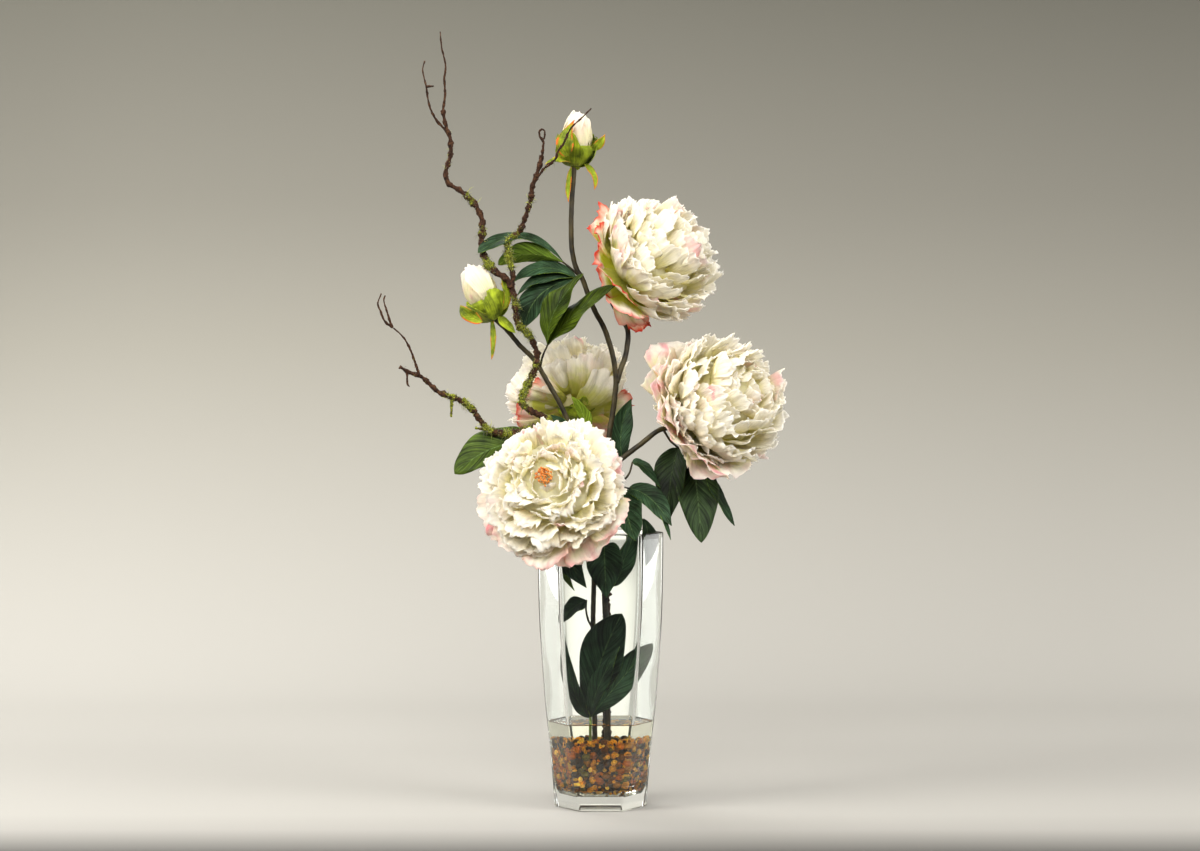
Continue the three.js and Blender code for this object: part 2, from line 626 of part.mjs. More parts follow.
function axisRings(flower, profile, sides = 8) {
  // Rings round the flower's axis, by their distance behind the heart and their radius, in mm.
  const { centre, outward } = flowerFrame({ ...flower, depth: 1 });
  return profile.map(([behind, ringRadius]) => (
    Array.from({ length: sides }, (_, k) => (
      centre.clone().addScaledVector(outward(0, Math.PI), behind)
        .addScaledVector(outward((2 * Math.PI * k) / sides, Math.PI / 2), ringRadius)
    ))
  ));
}

function calyx(flower, seed) {
  // The green button behind a bloom, which holds the stem, with five sepals spread behind the
  // petals.
  const next = random(seed);
  const coreBack = CORE * Math.cos(THREE.MathUtils.degToRad(20)) * flower.radius * flower.depth;
  const start = coreBack + GAP;
  const button = loft(axisRings(flower, [
    [start, CALYX.radius - 0.5], [start + 3, CALYX.radius], [start + CALYX.depth, CALYX.neck],
  ], 6));
  const { centre, outward, sideways } = flowerFrame({ ...flower, depth: 1 });
  const sepals = Array.from({ length: CALYX.sepals }, (_, k) => {
    const azimuth = (2 * Math.PI * (k + 0.3 * next())) / CALYX.sepals;
    const reach = CALYX.reach + CALYX.longer * next();
    return sheet([8, 0.6 * reach, reach].map((distance, i) => (
      [-1, 0, 1].map((v) => (
        centre.clone().addScaledVector(outward(0, Math.PI), start + 2.2 + 0.12 * distance)
          .addScaledVector(outward(azimuth, Math.PI / 2), distance)
          .addScaledVector(sideways(azimuth), v * [2.6, 7, 0.8][i])
          .addScaledVector(outward(0, Math.PI), -1.2 * Math.abs(v))
      ))
    )));
  });
  return fuse([button, ...sepals]);
}

function stamens(flower, seed) {
  // A tuft of short pins on a small cushion in the open heart of the front bloom.
  const next = random(seed);
  const coreFront = CORE * Math.cos(THREE.MathUtils.degToRad(25)) * flower.radius * flower.depth;
  const front = coreFront + GAP;
  const cushion = loft(axisRings(flower, [[-front, 7], [-front - 3, 6]], 6));
  const { centre, outward } = flowerFrame({ ...flower, depth: 1 });
  const pins = Array.from({ length: 9 }, () => {
    const azimuth = 2 * Math.PI * next();
    const spread = 1 + 4.5 * next();
    const at = (ahead, share) => (
      centre.clone().addScaledVector(outward(0, 0), front + ahead)
        .addScaledVector(outward(azimuth, Math.PI / 2), spread * share)
    );
    return tube([at(1.5, 1), at(11 + 4 * next(), 1.7)], 0.7, 1, { sides: 3, steps: 1 });
  });
  return fuse([cushion, ...pins]);
}

function bud(flower, seed) {
  // White petals wrapped over each other round an egg-shaped core, which stands on a short foot
  // in its green cup.
  const next = random(seed);
  const blades = Array.from({ length: 4 }, (_, k) => petal(flower, {
    azimuth: (2 * Math.PI * (k + 0.2 * next())) / 4,
    line: [[130, 0.8], [80, 1.12], [12, 1 + 0.05 * (k % 2)]],
    half: 0.6,
    cup: 0.7,
    twist: 0.06,
    ruffle: 0.02,
    rows: 3,
    columns: 2,
    phase: 6 * next(),
  }));
  const back = flower.radius * flower.depth;
  const foot = loft(axisRings(flower, [
    [BUD_FOOT.start * back, BUD_FOOT.radius * flower.radius],
    [BUD_FOOT.end * back, BUD_FOOT.radius * flower.radius],
  ], 6));
  return fuse([ball(flower, BUD_CORE), foot, ...blades]);
}

function budCalyx(flower, seed) {
  // A green cup round the bud's lower part, with broad sepals up its side and narrow ones that
  // hang down along the stem.
  const next = random(seed);
  const { radius, depth } = flower;
  const profile = (grow) => [
    [0.2, 1.24], [0.5, 1.1], [0.85, 0.7], [BUD_FOOT.end, 0.28],
  ].map(([behind, share]) => [behind * radius * depth + grow, share * radius + grow]);
  const [inner, outer] = [profile(GAP), profile(GAP + CALYX_WALL)];
  inner[0][0] -= 5; // so that the cup is cut open at its top
  const cup = loft(axisRings(flower, outer, 7)).subtract(loft(axisRings(flower, inner, 7)));
  const broad = Array.from({ length: 3 }, (_, k) => petal(flower, {
    azimuth: (2 * Math.PI * (k + 0.3 * next())) / 3,
    line: [[125, 1.22], [103, 1.26], [78 + 10 * next(), 1.34]],
    half: 0.5,
    cup: 0.6,
    twist: 0,
    ruffle: 0.02,
    rows: 2,
    columns: 2,
  }));
  const narrow = Array.from({ length: 2 }, (_, k) => petal(flower, {
    azimuth: (2 * Math.PI * (k + 0.2 * next())) / 2,
    line: [[165, 1.1], [166, 1.6], [168, 2.2 - 0.5 * k]],
    half: 0.2,
    cup: 0,
    twist: 0,
    ruffle: 0.02,
    rows: 2,
    columns: 2,
  }));
  return fuse([cup, ...broad, ...narrow]);
}

const UPPER_BLOOM = { centre: [54.5, 545.7, 0], axis: [0.8, -0.28, 0.53], radius: 67, depth: 0.95 };
const RIGHT_BLOOM = {
  centre: [120, 404, -8], axis: [0.68, -0.65, 0.33], radius: 67, depth: 0.95,
};
const FRONT_BLOOM = {
  centre: [-48.5, 319.5, -72], axis: [-0.2, -0.93, 0.3], radius: 70, depth: 0.62,
};
const BACK_BLOOM = {
  centre: [-32, 416.7, 78], axis: [-0.3, 0.62, 0.72], radius: 62, depth: 0.75,
};
const TOP_BUD = { centre: [-23.5, 667, 0], axis: [0.05, -0.1, 1], radius: 16.5, depth: 1.65 };
const LEFT_BUD = {
  centre: [-119, 514.5, 0], axis: [-0.46, -0.1, 0.89], radius: 18, depth: 1.6,
};

// Building the arrangement

const stemRoom = fuse([
  tallStem(GAP + 0.1), leftStem(GAP + 0.1), lowStem(GAP + 0.1), mainLimb(GAP + 0.1),
]);
addMesh('vase_glass', vase(), GLASS);
addMesh(
  'pebble_bed',
  pebbles().intersect(cavity(VASE.floor + GAP, PEBBLES.top + 3, VASE.wall + GAP))
    .subtract(stemRoom),
  PEBBLE,
);
addMesh(
  'vase_water',
  cavity(PEBBLES.top + GAP, WATER_LEVEL, VASE.wall + 2 * GAP).subtract(stemRoom),
  WATER,
);
addMesh('stem_tall', tallStem(), STEM);
addMesh('stem_left', leftStem(), STEM);
addMesh('stem_low', lowStem(), GREEN_STEM);
addMesh('branch_curly', branch(), BARK);
addMesh('leaves_upper', spray(UPPER_LEAVES).subtract(stemRoom), LEAF);
addMesh('leaves_middle', spray(MIDDLE_LEAVES).subtract(stemRoom), LEAF);
addMesh('leaves_left', spray(LEFT_LEAVES).subtract(stemRoom), LEAF);
addMesh('leaf_tall', spray(TALL_LEAF).subtract(stemRoom), LEAF);
addMesh('leaves_right', spray(RIGHT_LEAVES).subtract(stemRoom), LEAF);
addMesh('leaves_hanging', spray(HANGING_LEAVES).subtract(stemRoom), LEAF);
addMesh('leaves_mouth', spray(MOUTH_LEAVES).subtract(stemRoom), LEAF);
addMesh('leaf_small', spray(SMALL_LEAF).subtract(stemRoom), LEAF);
addMesh('leaves_low', spray(LOW_LEAVES).subtract(stemRoom), LEAF);
addMesh('bloom_upper_petals', bloom(UPPER_BLOOM, FULL_LAYERS, 11), PETAL);
addMesh('bloom_right_petals', bloom(RIGHT_BLOOM, FULL_LAYERS, 12), PETAL);
addMesh('bloom_front_petals', bloom(FRONT_BLOOM, OPEN_LAYERS, 13), PETAL);
addMesh('bloom_back_petals', bloom(BACK_BLOOM, FULL_LAYERS, 14), PETAL);
addMesh('bloom_upper_calyx', calyx(UPPER_BLOOM, 21).subtract(stemRoom), SEPAL);
addMesh('bloom_right_calyx', calyx(RIGHT_BLOOM, 22).subtract(stemRoom), SEPAL);
addMesh('bloom_front_calyx', calyx(FRONT_BLOOM, 23).subtract(stemRoom), SEPAL);
addMesh('bloom_back_calyx', calyx(BACK_BLOOM, 24).subtract(stemRoom), SEPAL);
addMesh('bloom_front_stamens', stamens(FRONT_BLOOM, 25), STAMEN);
addMesh('bud_top_petals', bud(TOP_BUD, 31), PETAL);
addMesh('bud_top_calyx', budCalyx(TOP_BUD, 32).subtract(stemRoom), SEPAL);
addMesh('bud_left_petals', bud(LEFT_BUD, 33), PETAL);
addMesh('bud_left_calyx', budCalyx(LEFT_BUD, 34).subtract(stemRoom), SEPAL);

export default group;
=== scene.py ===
"""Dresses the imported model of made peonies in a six-sided glass vase.

Lengths are in millimetres until a mesh is made, and then in metres. Points that are read from the
front are written as x, z and depth, and lie on one line of sight whatever their depth.
"""

from __future__ import annotations

import logging
import math
from collections.abc import Callable
from dataclasses import dataclass, field
from enum import Enum
from functools import cache, partial

import bmesh
import bpy
import numpy as np
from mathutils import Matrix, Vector

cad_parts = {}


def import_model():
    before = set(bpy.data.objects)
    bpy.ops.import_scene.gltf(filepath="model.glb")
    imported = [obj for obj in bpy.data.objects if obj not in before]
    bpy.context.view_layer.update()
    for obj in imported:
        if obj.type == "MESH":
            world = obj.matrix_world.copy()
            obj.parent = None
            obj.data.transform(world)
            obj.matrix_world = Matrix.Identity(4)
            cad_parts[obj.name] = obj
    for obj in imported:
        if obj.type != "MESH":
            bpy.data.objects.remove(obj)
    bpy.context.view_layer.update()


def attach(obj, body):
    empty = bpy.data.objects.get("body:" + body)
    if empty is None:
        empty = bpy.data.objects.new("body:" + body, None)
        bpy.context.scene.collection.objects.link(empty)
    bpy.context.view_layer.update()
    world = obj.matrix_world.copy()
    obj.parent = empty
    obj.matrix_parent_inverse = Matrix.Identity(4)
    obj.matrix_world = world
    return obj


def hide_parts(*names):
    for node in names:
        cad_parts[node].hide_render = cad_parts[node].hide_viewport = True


LOG = logging.getLogger("peonies")

# Metres in a millimetre, the eye's distance and height in millimetres, and the distance in
# metres within which doubled points are merged.
MM = 0.001
EYE_DISTANCE = 3000.0
EYE_HEIGHT = 430.0
MERGED_WITHIN = 2e-6

# The vase, its filling, and the flowers' hearts as shares of their radii.
VASE_HEIGHT = 275.0
VASE_WALL = 3.0
VASE_FLOOR = 14.0
WATER_LEVEL = 85.0
BOWL_HEIGHT = 14.0
PEBBLE_TOP = 69.0
BLOOM_CORE = 0.6
BLOOM_HEART = 0.69
BUD_HEART = 0.76
SEPAL_THICKNESS = 0.5
GOLDEN_ANGLE = math.radians(137.508)

# The vase's outer plan: rows of height, half width at the side edges, half width of the front
# face, and half depth.
VASE_PLANS = np.array([
    [0.0, 46.7, 21.4, 40.0],
    [67.0, 52.2, 30.0, 44.0],
    [97.0, 55.6, 33.6, 46.0],
    [147.0, 59.5, 37.0, 49.5],
    [195.0, 62.2, 40.0, 52.0],
    [247.0, 63.2, 41.2, 53.6],
    [275.0, 63.4, 41.5, 54.0],
])


class Side(Enum):
    """Which way round a surface's faces are wound."""

    FRONT = 1
    BACK = -1


# Small helpers


def linear(code: str) -> tuple[float, float, float, float]:
    """Turns an sRGB hex colour into linear light.

    Args:
        code: six hex digits after a hash.

    Returns:
        Red, green, blue and an alpha of one.
    """
    parts = [int(code[i:i + 2], 16) / 255 for i in (1, 3, 5)]
    red, green, blue = [p / 12.92 if p <= 0.04045 else ((p + 0.055) / 1.055) ** 2.4 for p in parts]
    return red, green, blue, 1.0


def seen(points: list | tuple | np.ndarray) -> np.ndarray:
    """Places points that are read from the front.

    Each point keeps its line of sight from the eye: x and z grow with its distance from the eye.

    Args:
        points: rows of x, z and depth.

    Returns:
        Rows of x, y and z in millimetres.
    """
    x, z, depth = np.atleast_2d(np.asarray(points, dtype=float)).T
    spread = (EYE_DISTANCE + depth) / EYE_DISTANCE
    return np.stack([x * spread, depth, EYE_HEIGHT + (z - EYE_HEIGHT) * spread], axis=1)


def unit(vectors: np.ndarray) -> np.ndarray:
    """Scales vectors to a length of one."""
    return vectors / np.maximum(np.linalg.norm(vectors, axis=-1, keepdims=True), 1e-9)


def bezier(start: np.ndarray, control: np.ndarray, end: np.ndarray, t: np.ndarray) -> np.ndarray:
    """A quadratic curve: each point's two neighbours mixed by t, and the mixes mixed again."""
    return (1 - t) ** 2 * start + 2 * t * (1 - t) * control + t ** 2 * end


def smooth_values(at: np.ndarray, known_at: np.ndarray, known: np.ndarray) -> np.ndarray:
    """Reads values off a smooth curve through known ones.

    Between two known values the curve is a cubic whose slopes at its ends are the mean slopes
    round those points.

    Args:
        at: where to read.
        known_at: where the values are known, rising.
        known: the known values.

    Returns:
        One value for each place.
    """
    slopes = np.gradient(known, known_at)
    k = np.clip(np.searchsorted(known_at, at, side="right") - 1, 0, len(known_at) - 2)
    span = known_at[k + 1] - known_at[k]
    t = (at - known_at[k]) / span
    return (
        (2 * t**3 - 3 * t**2 + 1) * known[k]
        + (t**3 - 2 * t**2 + t) * span * slopes[k]
        + (3 * t**2 - 2 * t**3) * known[k + 1]
        + (t**3 - t**2) * span * slopes[k + 1]
    )


def smooth_path(points: np.ndarray, count: int) -> np.ndarray:
    """Samples a smooth path through points, evenly by the length along it.

    Args:
        points: rows of x, y and z.
        count: how many samples.

    Returns:
        The samples, first and last point included.
    """
    steps = np.sqrt(np.linalg.norm(np.diff(points, axis=0), axis=1))
    at = np.concatenate([[0], np.cumsum(steps)])
    fine_at = np.linspace(0, at[-1], 12 * count)
    fine = np.stack([smooth_values(fine_at, at, column) for column in points.T], axis=1)
    length = np.concatenate([[0], np.cumsum(np.linalg.norm(np.diff(fine, axis=0), axis=1))])
    even = np.linspace(0, length[-1], count)
    return np.stack([np.interp(even, length, column) for column in fine.T], axis=1)


def spaced_route(points: list, spacing: float, fewest: int = 2) -> tuple[np.ndarray, float]:
    """Samples a smooth route at about even distances.

    Args:
        points: the route as read from the front.
        spacing: the distance from sample to sample.
        fewest: the least number of samples.

    Returns:
        The samples, and the length of the straight lines from point to point.
    """
    known = seen(points)
    length = np.linalg.norm(np.diff(known, axis=0), axis=1).sum()
    return smooth_path(known, max(fewest, int(length / spacing))), length


@dataclass
class Surface:
    """Points in millimetres, their quads, and what the materials read at each point."""

    points: np.ndarray
    faces: np.ndarray
    uv: np.ndarray
    marks: dict[str, np.ndarray] = field(default_factory=dict)

    @staticmethod
    def from_grid(
        points: np.ndarray, side: Side = Side.FRONT, **marks: np.ndarray | float,
    ) -> Surface:
        """Makes the quads of one or many grids.

        Args:
            points: of shape (..., rows, columns, 3).
            side: which way the faces are wound.
            marks: values for the materials, each of a shape that spreads over the grids.

        Returns:
            A surface whose UV runs across the columns and along the rows.
        """
        rows, columns = points.shape[-3:-1]
        grids = points.reshape(-1, rows, columns, 3)
        i, j = np.meshgrid(np.arange(rows - 1), np.arange(columns - 1), indexing="ij")
        a = (i * columns + j).ravel()
        quads = np.stack([a, a + columns, a + columns + 1, a + 1], axis=1)
        if side is Side.BACK:
            quads = quads[:, ::-1]
        starts = np.arange(len(grids)) * rows * columns
        faces = (quads[None] + starts[:, None, None]).reshape(-1, 4)
        v, u = np.meshgrid(np.linspace(0, 1, rows), np.linspace(0, 1, columns), indexing="ij")
        uv = np.tile(np.stack([u, v], axis=-1).reshape(-1, 2), (len(grids), 1))
        shape = grids.shape[:3]
        spread = {
            name: np.broadcast_to(np.asarray(value, dtype=float), shape).ravel()
            for name, value in marks.items()
        }
        return Surface(grids.reshape(-1, 3), faces, uv, spread)

    @staticmethod
    def join(parts: list[Surface]) -> Surface:
        """Puts surfaces into one.

        Args:
            parts: the surfaces.

        Returns:
            One surface. A mark that a part lacks is nought there.
        """
        starts = np.cumsum([0] + [len(part.points) for part in parts[:-1]])
        names = sorted({name for part in parts for name in part.marks})
        return Surface(
            np.concatenate([part.points for part in parts]),
            np.concatenate([part.faces + start for part, start in zip(parts, starts)]),
            np.concatenate([part.uv for part in parts]),
            {
                name: np.concatenate([
                    part.marks.get(name, np.zeros(len(part.points))) for part in parts
                ])
                for name in names
            },
        )


@dataclass
class Piece:
    """A surface that becomes one named object of the scene."""

    name: str
    surface: Surface
    covers: list[Cover]
    slot: str
    nodes: tuple[str, ...] = ()
    closed: bool = False
    thickness: float = 0.0
    sharp_above: float = 0.0

    def make(self) -> None:
        """Makes the mesh in metres, closes or thickens it, and lets it ride on the part.

        A closed surface has its doubled seams and poles merged and its faces turned outwards.
        A sheet gets half its thickness to each side.
        """
        surface = self.surface
        mesh = bpy.data.meshes.new(self.name)
        mesh.vertices.add(len(surface.points))
        mesh.vertices.foreach_set("co", (surface.points * MM).astype(np.float32).ravel())
        mesh.loops.add(surface.faces.size)
        mesh.loops.foreach_set("vertex_index", surface.faces.astype(np.int32).ravel())
        mesh.polygons.add(len(surface.faces))
        mesh.polygons.foreach_set("loop_start", np.arange(0, surface.faces.size, 4, dtype=np.int32))
        mesh.update(calc_edges=True)
        layer = mesh.uv_layers.new(name="form")
        layer.uv.foreach_set(
            "vector", surface.uv[surface.faces.ravel()].astype(np.float32).ravel())
        for name, values in surface.marks.items():
            mark = mesh.attributes.new(name, "FLOAT", "POINT")
            mark.data.foreach_set("value", values.astype(np.float32))
        if self.closed:
            work = bmesh.new()
            work.from_mesh(mesh)
            bmesh.ops.remove_doubles(work, verts=work.verts, dist=MERGED_WITHIN)
            bmesh.ops.recalc_face_normals(work, faces=work.faces)
            work.to_mesh(mesh)
            work.free()
        mesh.validate()
        mesh.polygons.foreach_set("use_smooth", np.ones(len(mesh.polygons), dtype=bool))
        if self.sharp_above:
            mesh.set_sharp_from_angle(angle=math.radians(self.sharp_above))
        for cover in self.covers:
            mesh.materials.append(cover.value.build())
        made = bpy.data.objects.new(self.name, mesh)
        bpy.context.scene.collection.objects.link(made)
        if self.thickness:
            shell = made.modifiers.new("thickness", "SOLIDIFY")
            shell.thickness = self.thickness * MM
            shell.offset = 0.0
            shell.material_offset = len(self.covers) - 1
            shell.material_offset_rim = len(self.covers) - 1
        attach(made, "root")
        if self.nodes:
            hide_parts(*self.nodes)
        LOG.info("%s: %d faces", self.name, len(mesh.polygons))


# Shapes that many pieces share


def capped(rings: np.ndarray, ends: np.ndarray, **marks: np.ndarray) -> Surface:
    """Closes rings of points at both ends, each by a ring that is drawn in to its end's point."""
    first, last = np.broadcast_to(ends[:, None, None], (2, 1) + rings.shape[1:])
    return Surface.from_grid(np.concatenate([first, rings, last]), **marks)


def tube(
    route: np.ndarray, radii: np.ndarray, sides: int, bumps: float = 0.0, seed: int = 0,
    **marks: np.ndarray,
) -> Surface:
    """A round stem along a route, closed at both ends.

    At each sample of the route a circle stands square to it: the circle's first radius is the
    world axis that the route follows least, made square to the route. Bumps are slow waves
    round and along the stem, as shares of its radius.

    Args:
        route: samples along the middle line.
        radii: one radius for each sample.
        sides: points round the circle.
        bumps: how far the skin waves in and out.
        seed: for the waves.
        marks: values for the materials, one for each sample.

    Returns:
        A closed surface.
    """
    draw = np.random.default_rng(seed)
    tangent = unit(np.gradient(route, axis=0))
    least = np.argmin(np.abs(tangent).max(axis=0))
    first = unit(np.eye(3)[least] - tangent[:, [least]] * tangent)
    second = np.cross(tangent, first)
    turn = np.linspace(0, 2 * np.pi, sides + 1)
    along = np.arange(len(route))[:, None]
    wave = sum(
        np.sin(k * turn[None] + pace * along + phase)
        for k, pace, phase in zip((1, 2, 3), draw.uniform(0.4, 1.7, 3), draw.uniform(0, 6, 3))
    )
    reach = radii[:, None] * (1 + bumps * wave / 2)
    ring = (
        route[:, None] + reach[..., None] * (
            np.cos(turn)[None, :, None] * first[:, None]
            + np.sin(turn)[None, :, None] * second[:, None])
    )
    padded = {name: np.pad(value, 1, mode="edge")[:, None] for name, value in marks.items()}
    return capped(ring, route[[0, -1]], **padded)


def turned(
    centre: np.ndarray, ahead: np.ndarray, right: np.ndarray, profile: list[tuple[float, float]],
    sides: int,
) -> Surface:
    """A form turned round an axis, with flat ends.

    A ring stands at each distance along the axis, with its radius. Between two rows of the
    profile both change evenly, in four steps.

    Args:
        centre: the axis's starting point.
        ahead: the axis's direction.
        right: a direction square to it.
        profile: rows of distance and radius.
        sides: points round the circle.

    Returns:
        A closed surface.
    """
    known = np.asarray(profile, dtype=float)
    at = np.linspace(0, len(known) - 1, 4 * (len(known) - 1) + 1)
    distance, radius = [np.interp(at, np.arange(len(known)), column) for column in known.T]
    turn = np.linspace(0, 2 * np.pi, sides + 1)
    up = np.cross(ahead, right)
    circle = np.cos(turn)[:, None] * right + np.sin(turn)[:, None] * up
    rings = centre + distance[:, None, None] * ahead + radius[:, None, None] * circle[None]
    return capped(rings, centre + known[[0, -1], :1] * ahead)


# Finishes

SMOOTH = "SMOOTHSTEP"
AddNode = Callable[..., bpy.types.Node]


def add_node(
    tree: bpy.types.NodeTree, kind: str, *inputs: object, **settings: object,
) -> bpy.types.Node:
    """Adds one shader node, with its settings and its links.

    A node or an output socket is linked, and a node stands for its first output. A text that
    starts with a hash is a colour. Any other value is set.

    Args:
        tree: the material's or world's node tree.
        kind: the node's type, without its leading ShaderNode.
        inputs: what goes into the node's inputs, from the first one on.
        settings: what goes into inputs by name, with an underscore for each space, or else the
            node's own properties. Stops are a colour ramp's rows, and steps its interpolation.

    Returns:
        The new node.
    """
    node = tree.nodes.new("ShaderNode" + kind)
    for name, value in (*enumerate(inputs), *settings.items()):
        key = name if isinstance(name, int) else name.replace("_", " ")
        if isinstance(value, bpy.types.Node):
            value = value.outputs[0]
        elif isinstance(value, str) and value.startswith("#"):
            value = linear(value)
        if name == "stops":
            ramp = node.color_ramp.elements
            while len(ramp) < len(value):
                ramp.new(1.0)
            for element, (position, colour) in zip(ramp, value):
                element.position = position
                element.color = linear(colour)
        elif name == "steps":
            node.color_ramp.interpolation = value
        elif isinstance(value, bpy.types.NodeSocket):
            tree.links.new(value, node.inputs[key])
        elif isinstance(key, int) or key in node.inputs:
            node.inputs[key].default_value = value
        else:
            setattr(node, name, value)
    return node


@dataclass(frozen=True)
class Finish:
    """One finish of the arrangement: a name, and nodes that end in one shader."""

    name: str

    @cache
    def build(self) -> bpy.types.Material:
        """Makes the material from the finish's nodes, and only once.

        Returns:
            The material.
        """
        material = bpy.data.materials.new(self.name)
        material.use_nodes = True
        tree = material.node_tree
        tree.nodes.clear()
        add_node(tree, "OutputMaterial", self.shade(partial(add_node, tree)))
        return material

    def shade(self, add: AddNode) -> bpy.types.Node:
        """Adds the finish's nodes and returns the shader that they end in."""
        raise NotImplementedError


@dataclass(frozen=True)
class PetalCloth(Finish):
    """Heat-moulded polyester petals with a soft nap, tinted by airbrush.

    The nap scatters light, so the eye sees soft white with hardly a shine, and the thin cloth
    glows where light comes through from behind. The root is sprayed yellow-green, and the colours
    from root to tip also paint shade: yellower and darker low in the petals, deep in the bloom,
    and darker along the creases. The guard petals' edges are dipped coral. The spray lies in
    clouds 14 mm wide. The nap is drawn 0.7 mm wide, coarser than it is, so that it shows.
    """

    name: str = "petal_cloth"
    # Root and low are partly the real yellow-green spray and partly painted shade deep in the
    # bloom.
    root: str = "#ebe696"
    green: str = "#d9d860"
    low: str = "#faf5d2"
    body: str = "#fdf9ea"
    tip: str = "#fefbf4"
    salmon: str = "#f4b196"
    coral: str = "#e4513d"
    pink: str = "#f5b3ba"
    clouds_per_metre: float = 70.0
    naps_per_metre: float = 1400.0
    streaks_across: float = 15.0
    streaks_along: float = 2.5
    crease_depth: float = 0.0016
    glow: float = 0.68

    def shade(self, add: AddNode) -> bpy.types.Node:
        """Adds the white from root to tip, four sprays over it, and the creases and the nap.

        Low down the white is yellower and darker, and along the creases darker, as painted shade.
        A spray's strength is a soft step of what it follows, times the mark that the petal
        carries for it.

        Args:
            add: adds a node to the material.

        Returns:
            The shader.
        """
        rise, edge, coral, rosy, green = [
            add("Attribute", attribute_name=mark).outputs["Fac"]
            for mark in ("rise", "edge", "coral", "rosy", "green")]
        place = add("TexCoord").outputs["Object"]
        cloud = add("TexNoise", place, Scale=self.clouds_per_metre, Detail=3.0)
        wander = add("Math", cloud, 0.5, -0.25, operation="MULTIPLY_ADD")
        along = add("Math", rise, wander, operation="ADD")
        outward = add("Math", wander, 1.8, edge, operation="MULTIPLY_ADD")
        # Painted shade: the ramp runs yellower and darker towards the root, deep in the bloom, over
        # the spray.
        colour = add("ValToRGB", along, stops=[
            (0.05, self.root), (0.3, self.low), (0.55, self.body), (0.9, self.tip)])
        for spray, mark, follows, start, end, most in (
            (self.green, green, along, 0.74, 0.25, 1.0),
            (self.pink, rosy, cloud, 0.4, 0.72, 0.8),
            (self.salmon, coral, outward, 0.38, 0.9, 1.0),
            (self.coral, coral, outward, 0.72, 1.04, 1.0),
        ):
            step = add("MapRange", follows, start, end, 0.0, most, interpolation_type=SMOOTH)
            colour = add("MixRGB", add("Math", step, mark, operation="MULTIPLY"), colour, spray)
        stretched = add("Mapping", add("UVMap", uv_map="form"), Scale=(
            self.streaks_across, self.streaks_along, 1.0))
        streaks = add("TexNoise", stretched, Scale=1.0, Detail=4.0)
        # Painted shade: the fibre streaks darken the colour along the creases.
        painted_crease_shade = add("MapRange", streaks, 0.32, 0.58, 0.87, 1.0)
        crease_shaded = add("VectorMath", colour, operation="SCALE", Scale=painted_crease_shade)
        nap = add("TexNoise", place, Scale=self.naps_per_metre, Detail=2.0)
        relief = add("Math", nap, 0.2, streaks, operation="MULTIPLY_ADD")
        bump = add("Bump", Strength=0.7, Distance=self.crease_depth, Height=relief)
        surface = add(
            "BsdfPrincipled", crease_shaded, Roughness=0.85, Specular_IOR_Level=0.12,
            Sheen_Weight=0.15, Sheen_Roughness=0.5, Normal=bump)
        return add("MixShader", self.glow, surface, add("BsdfTranslucent", crease_shaded, bump))


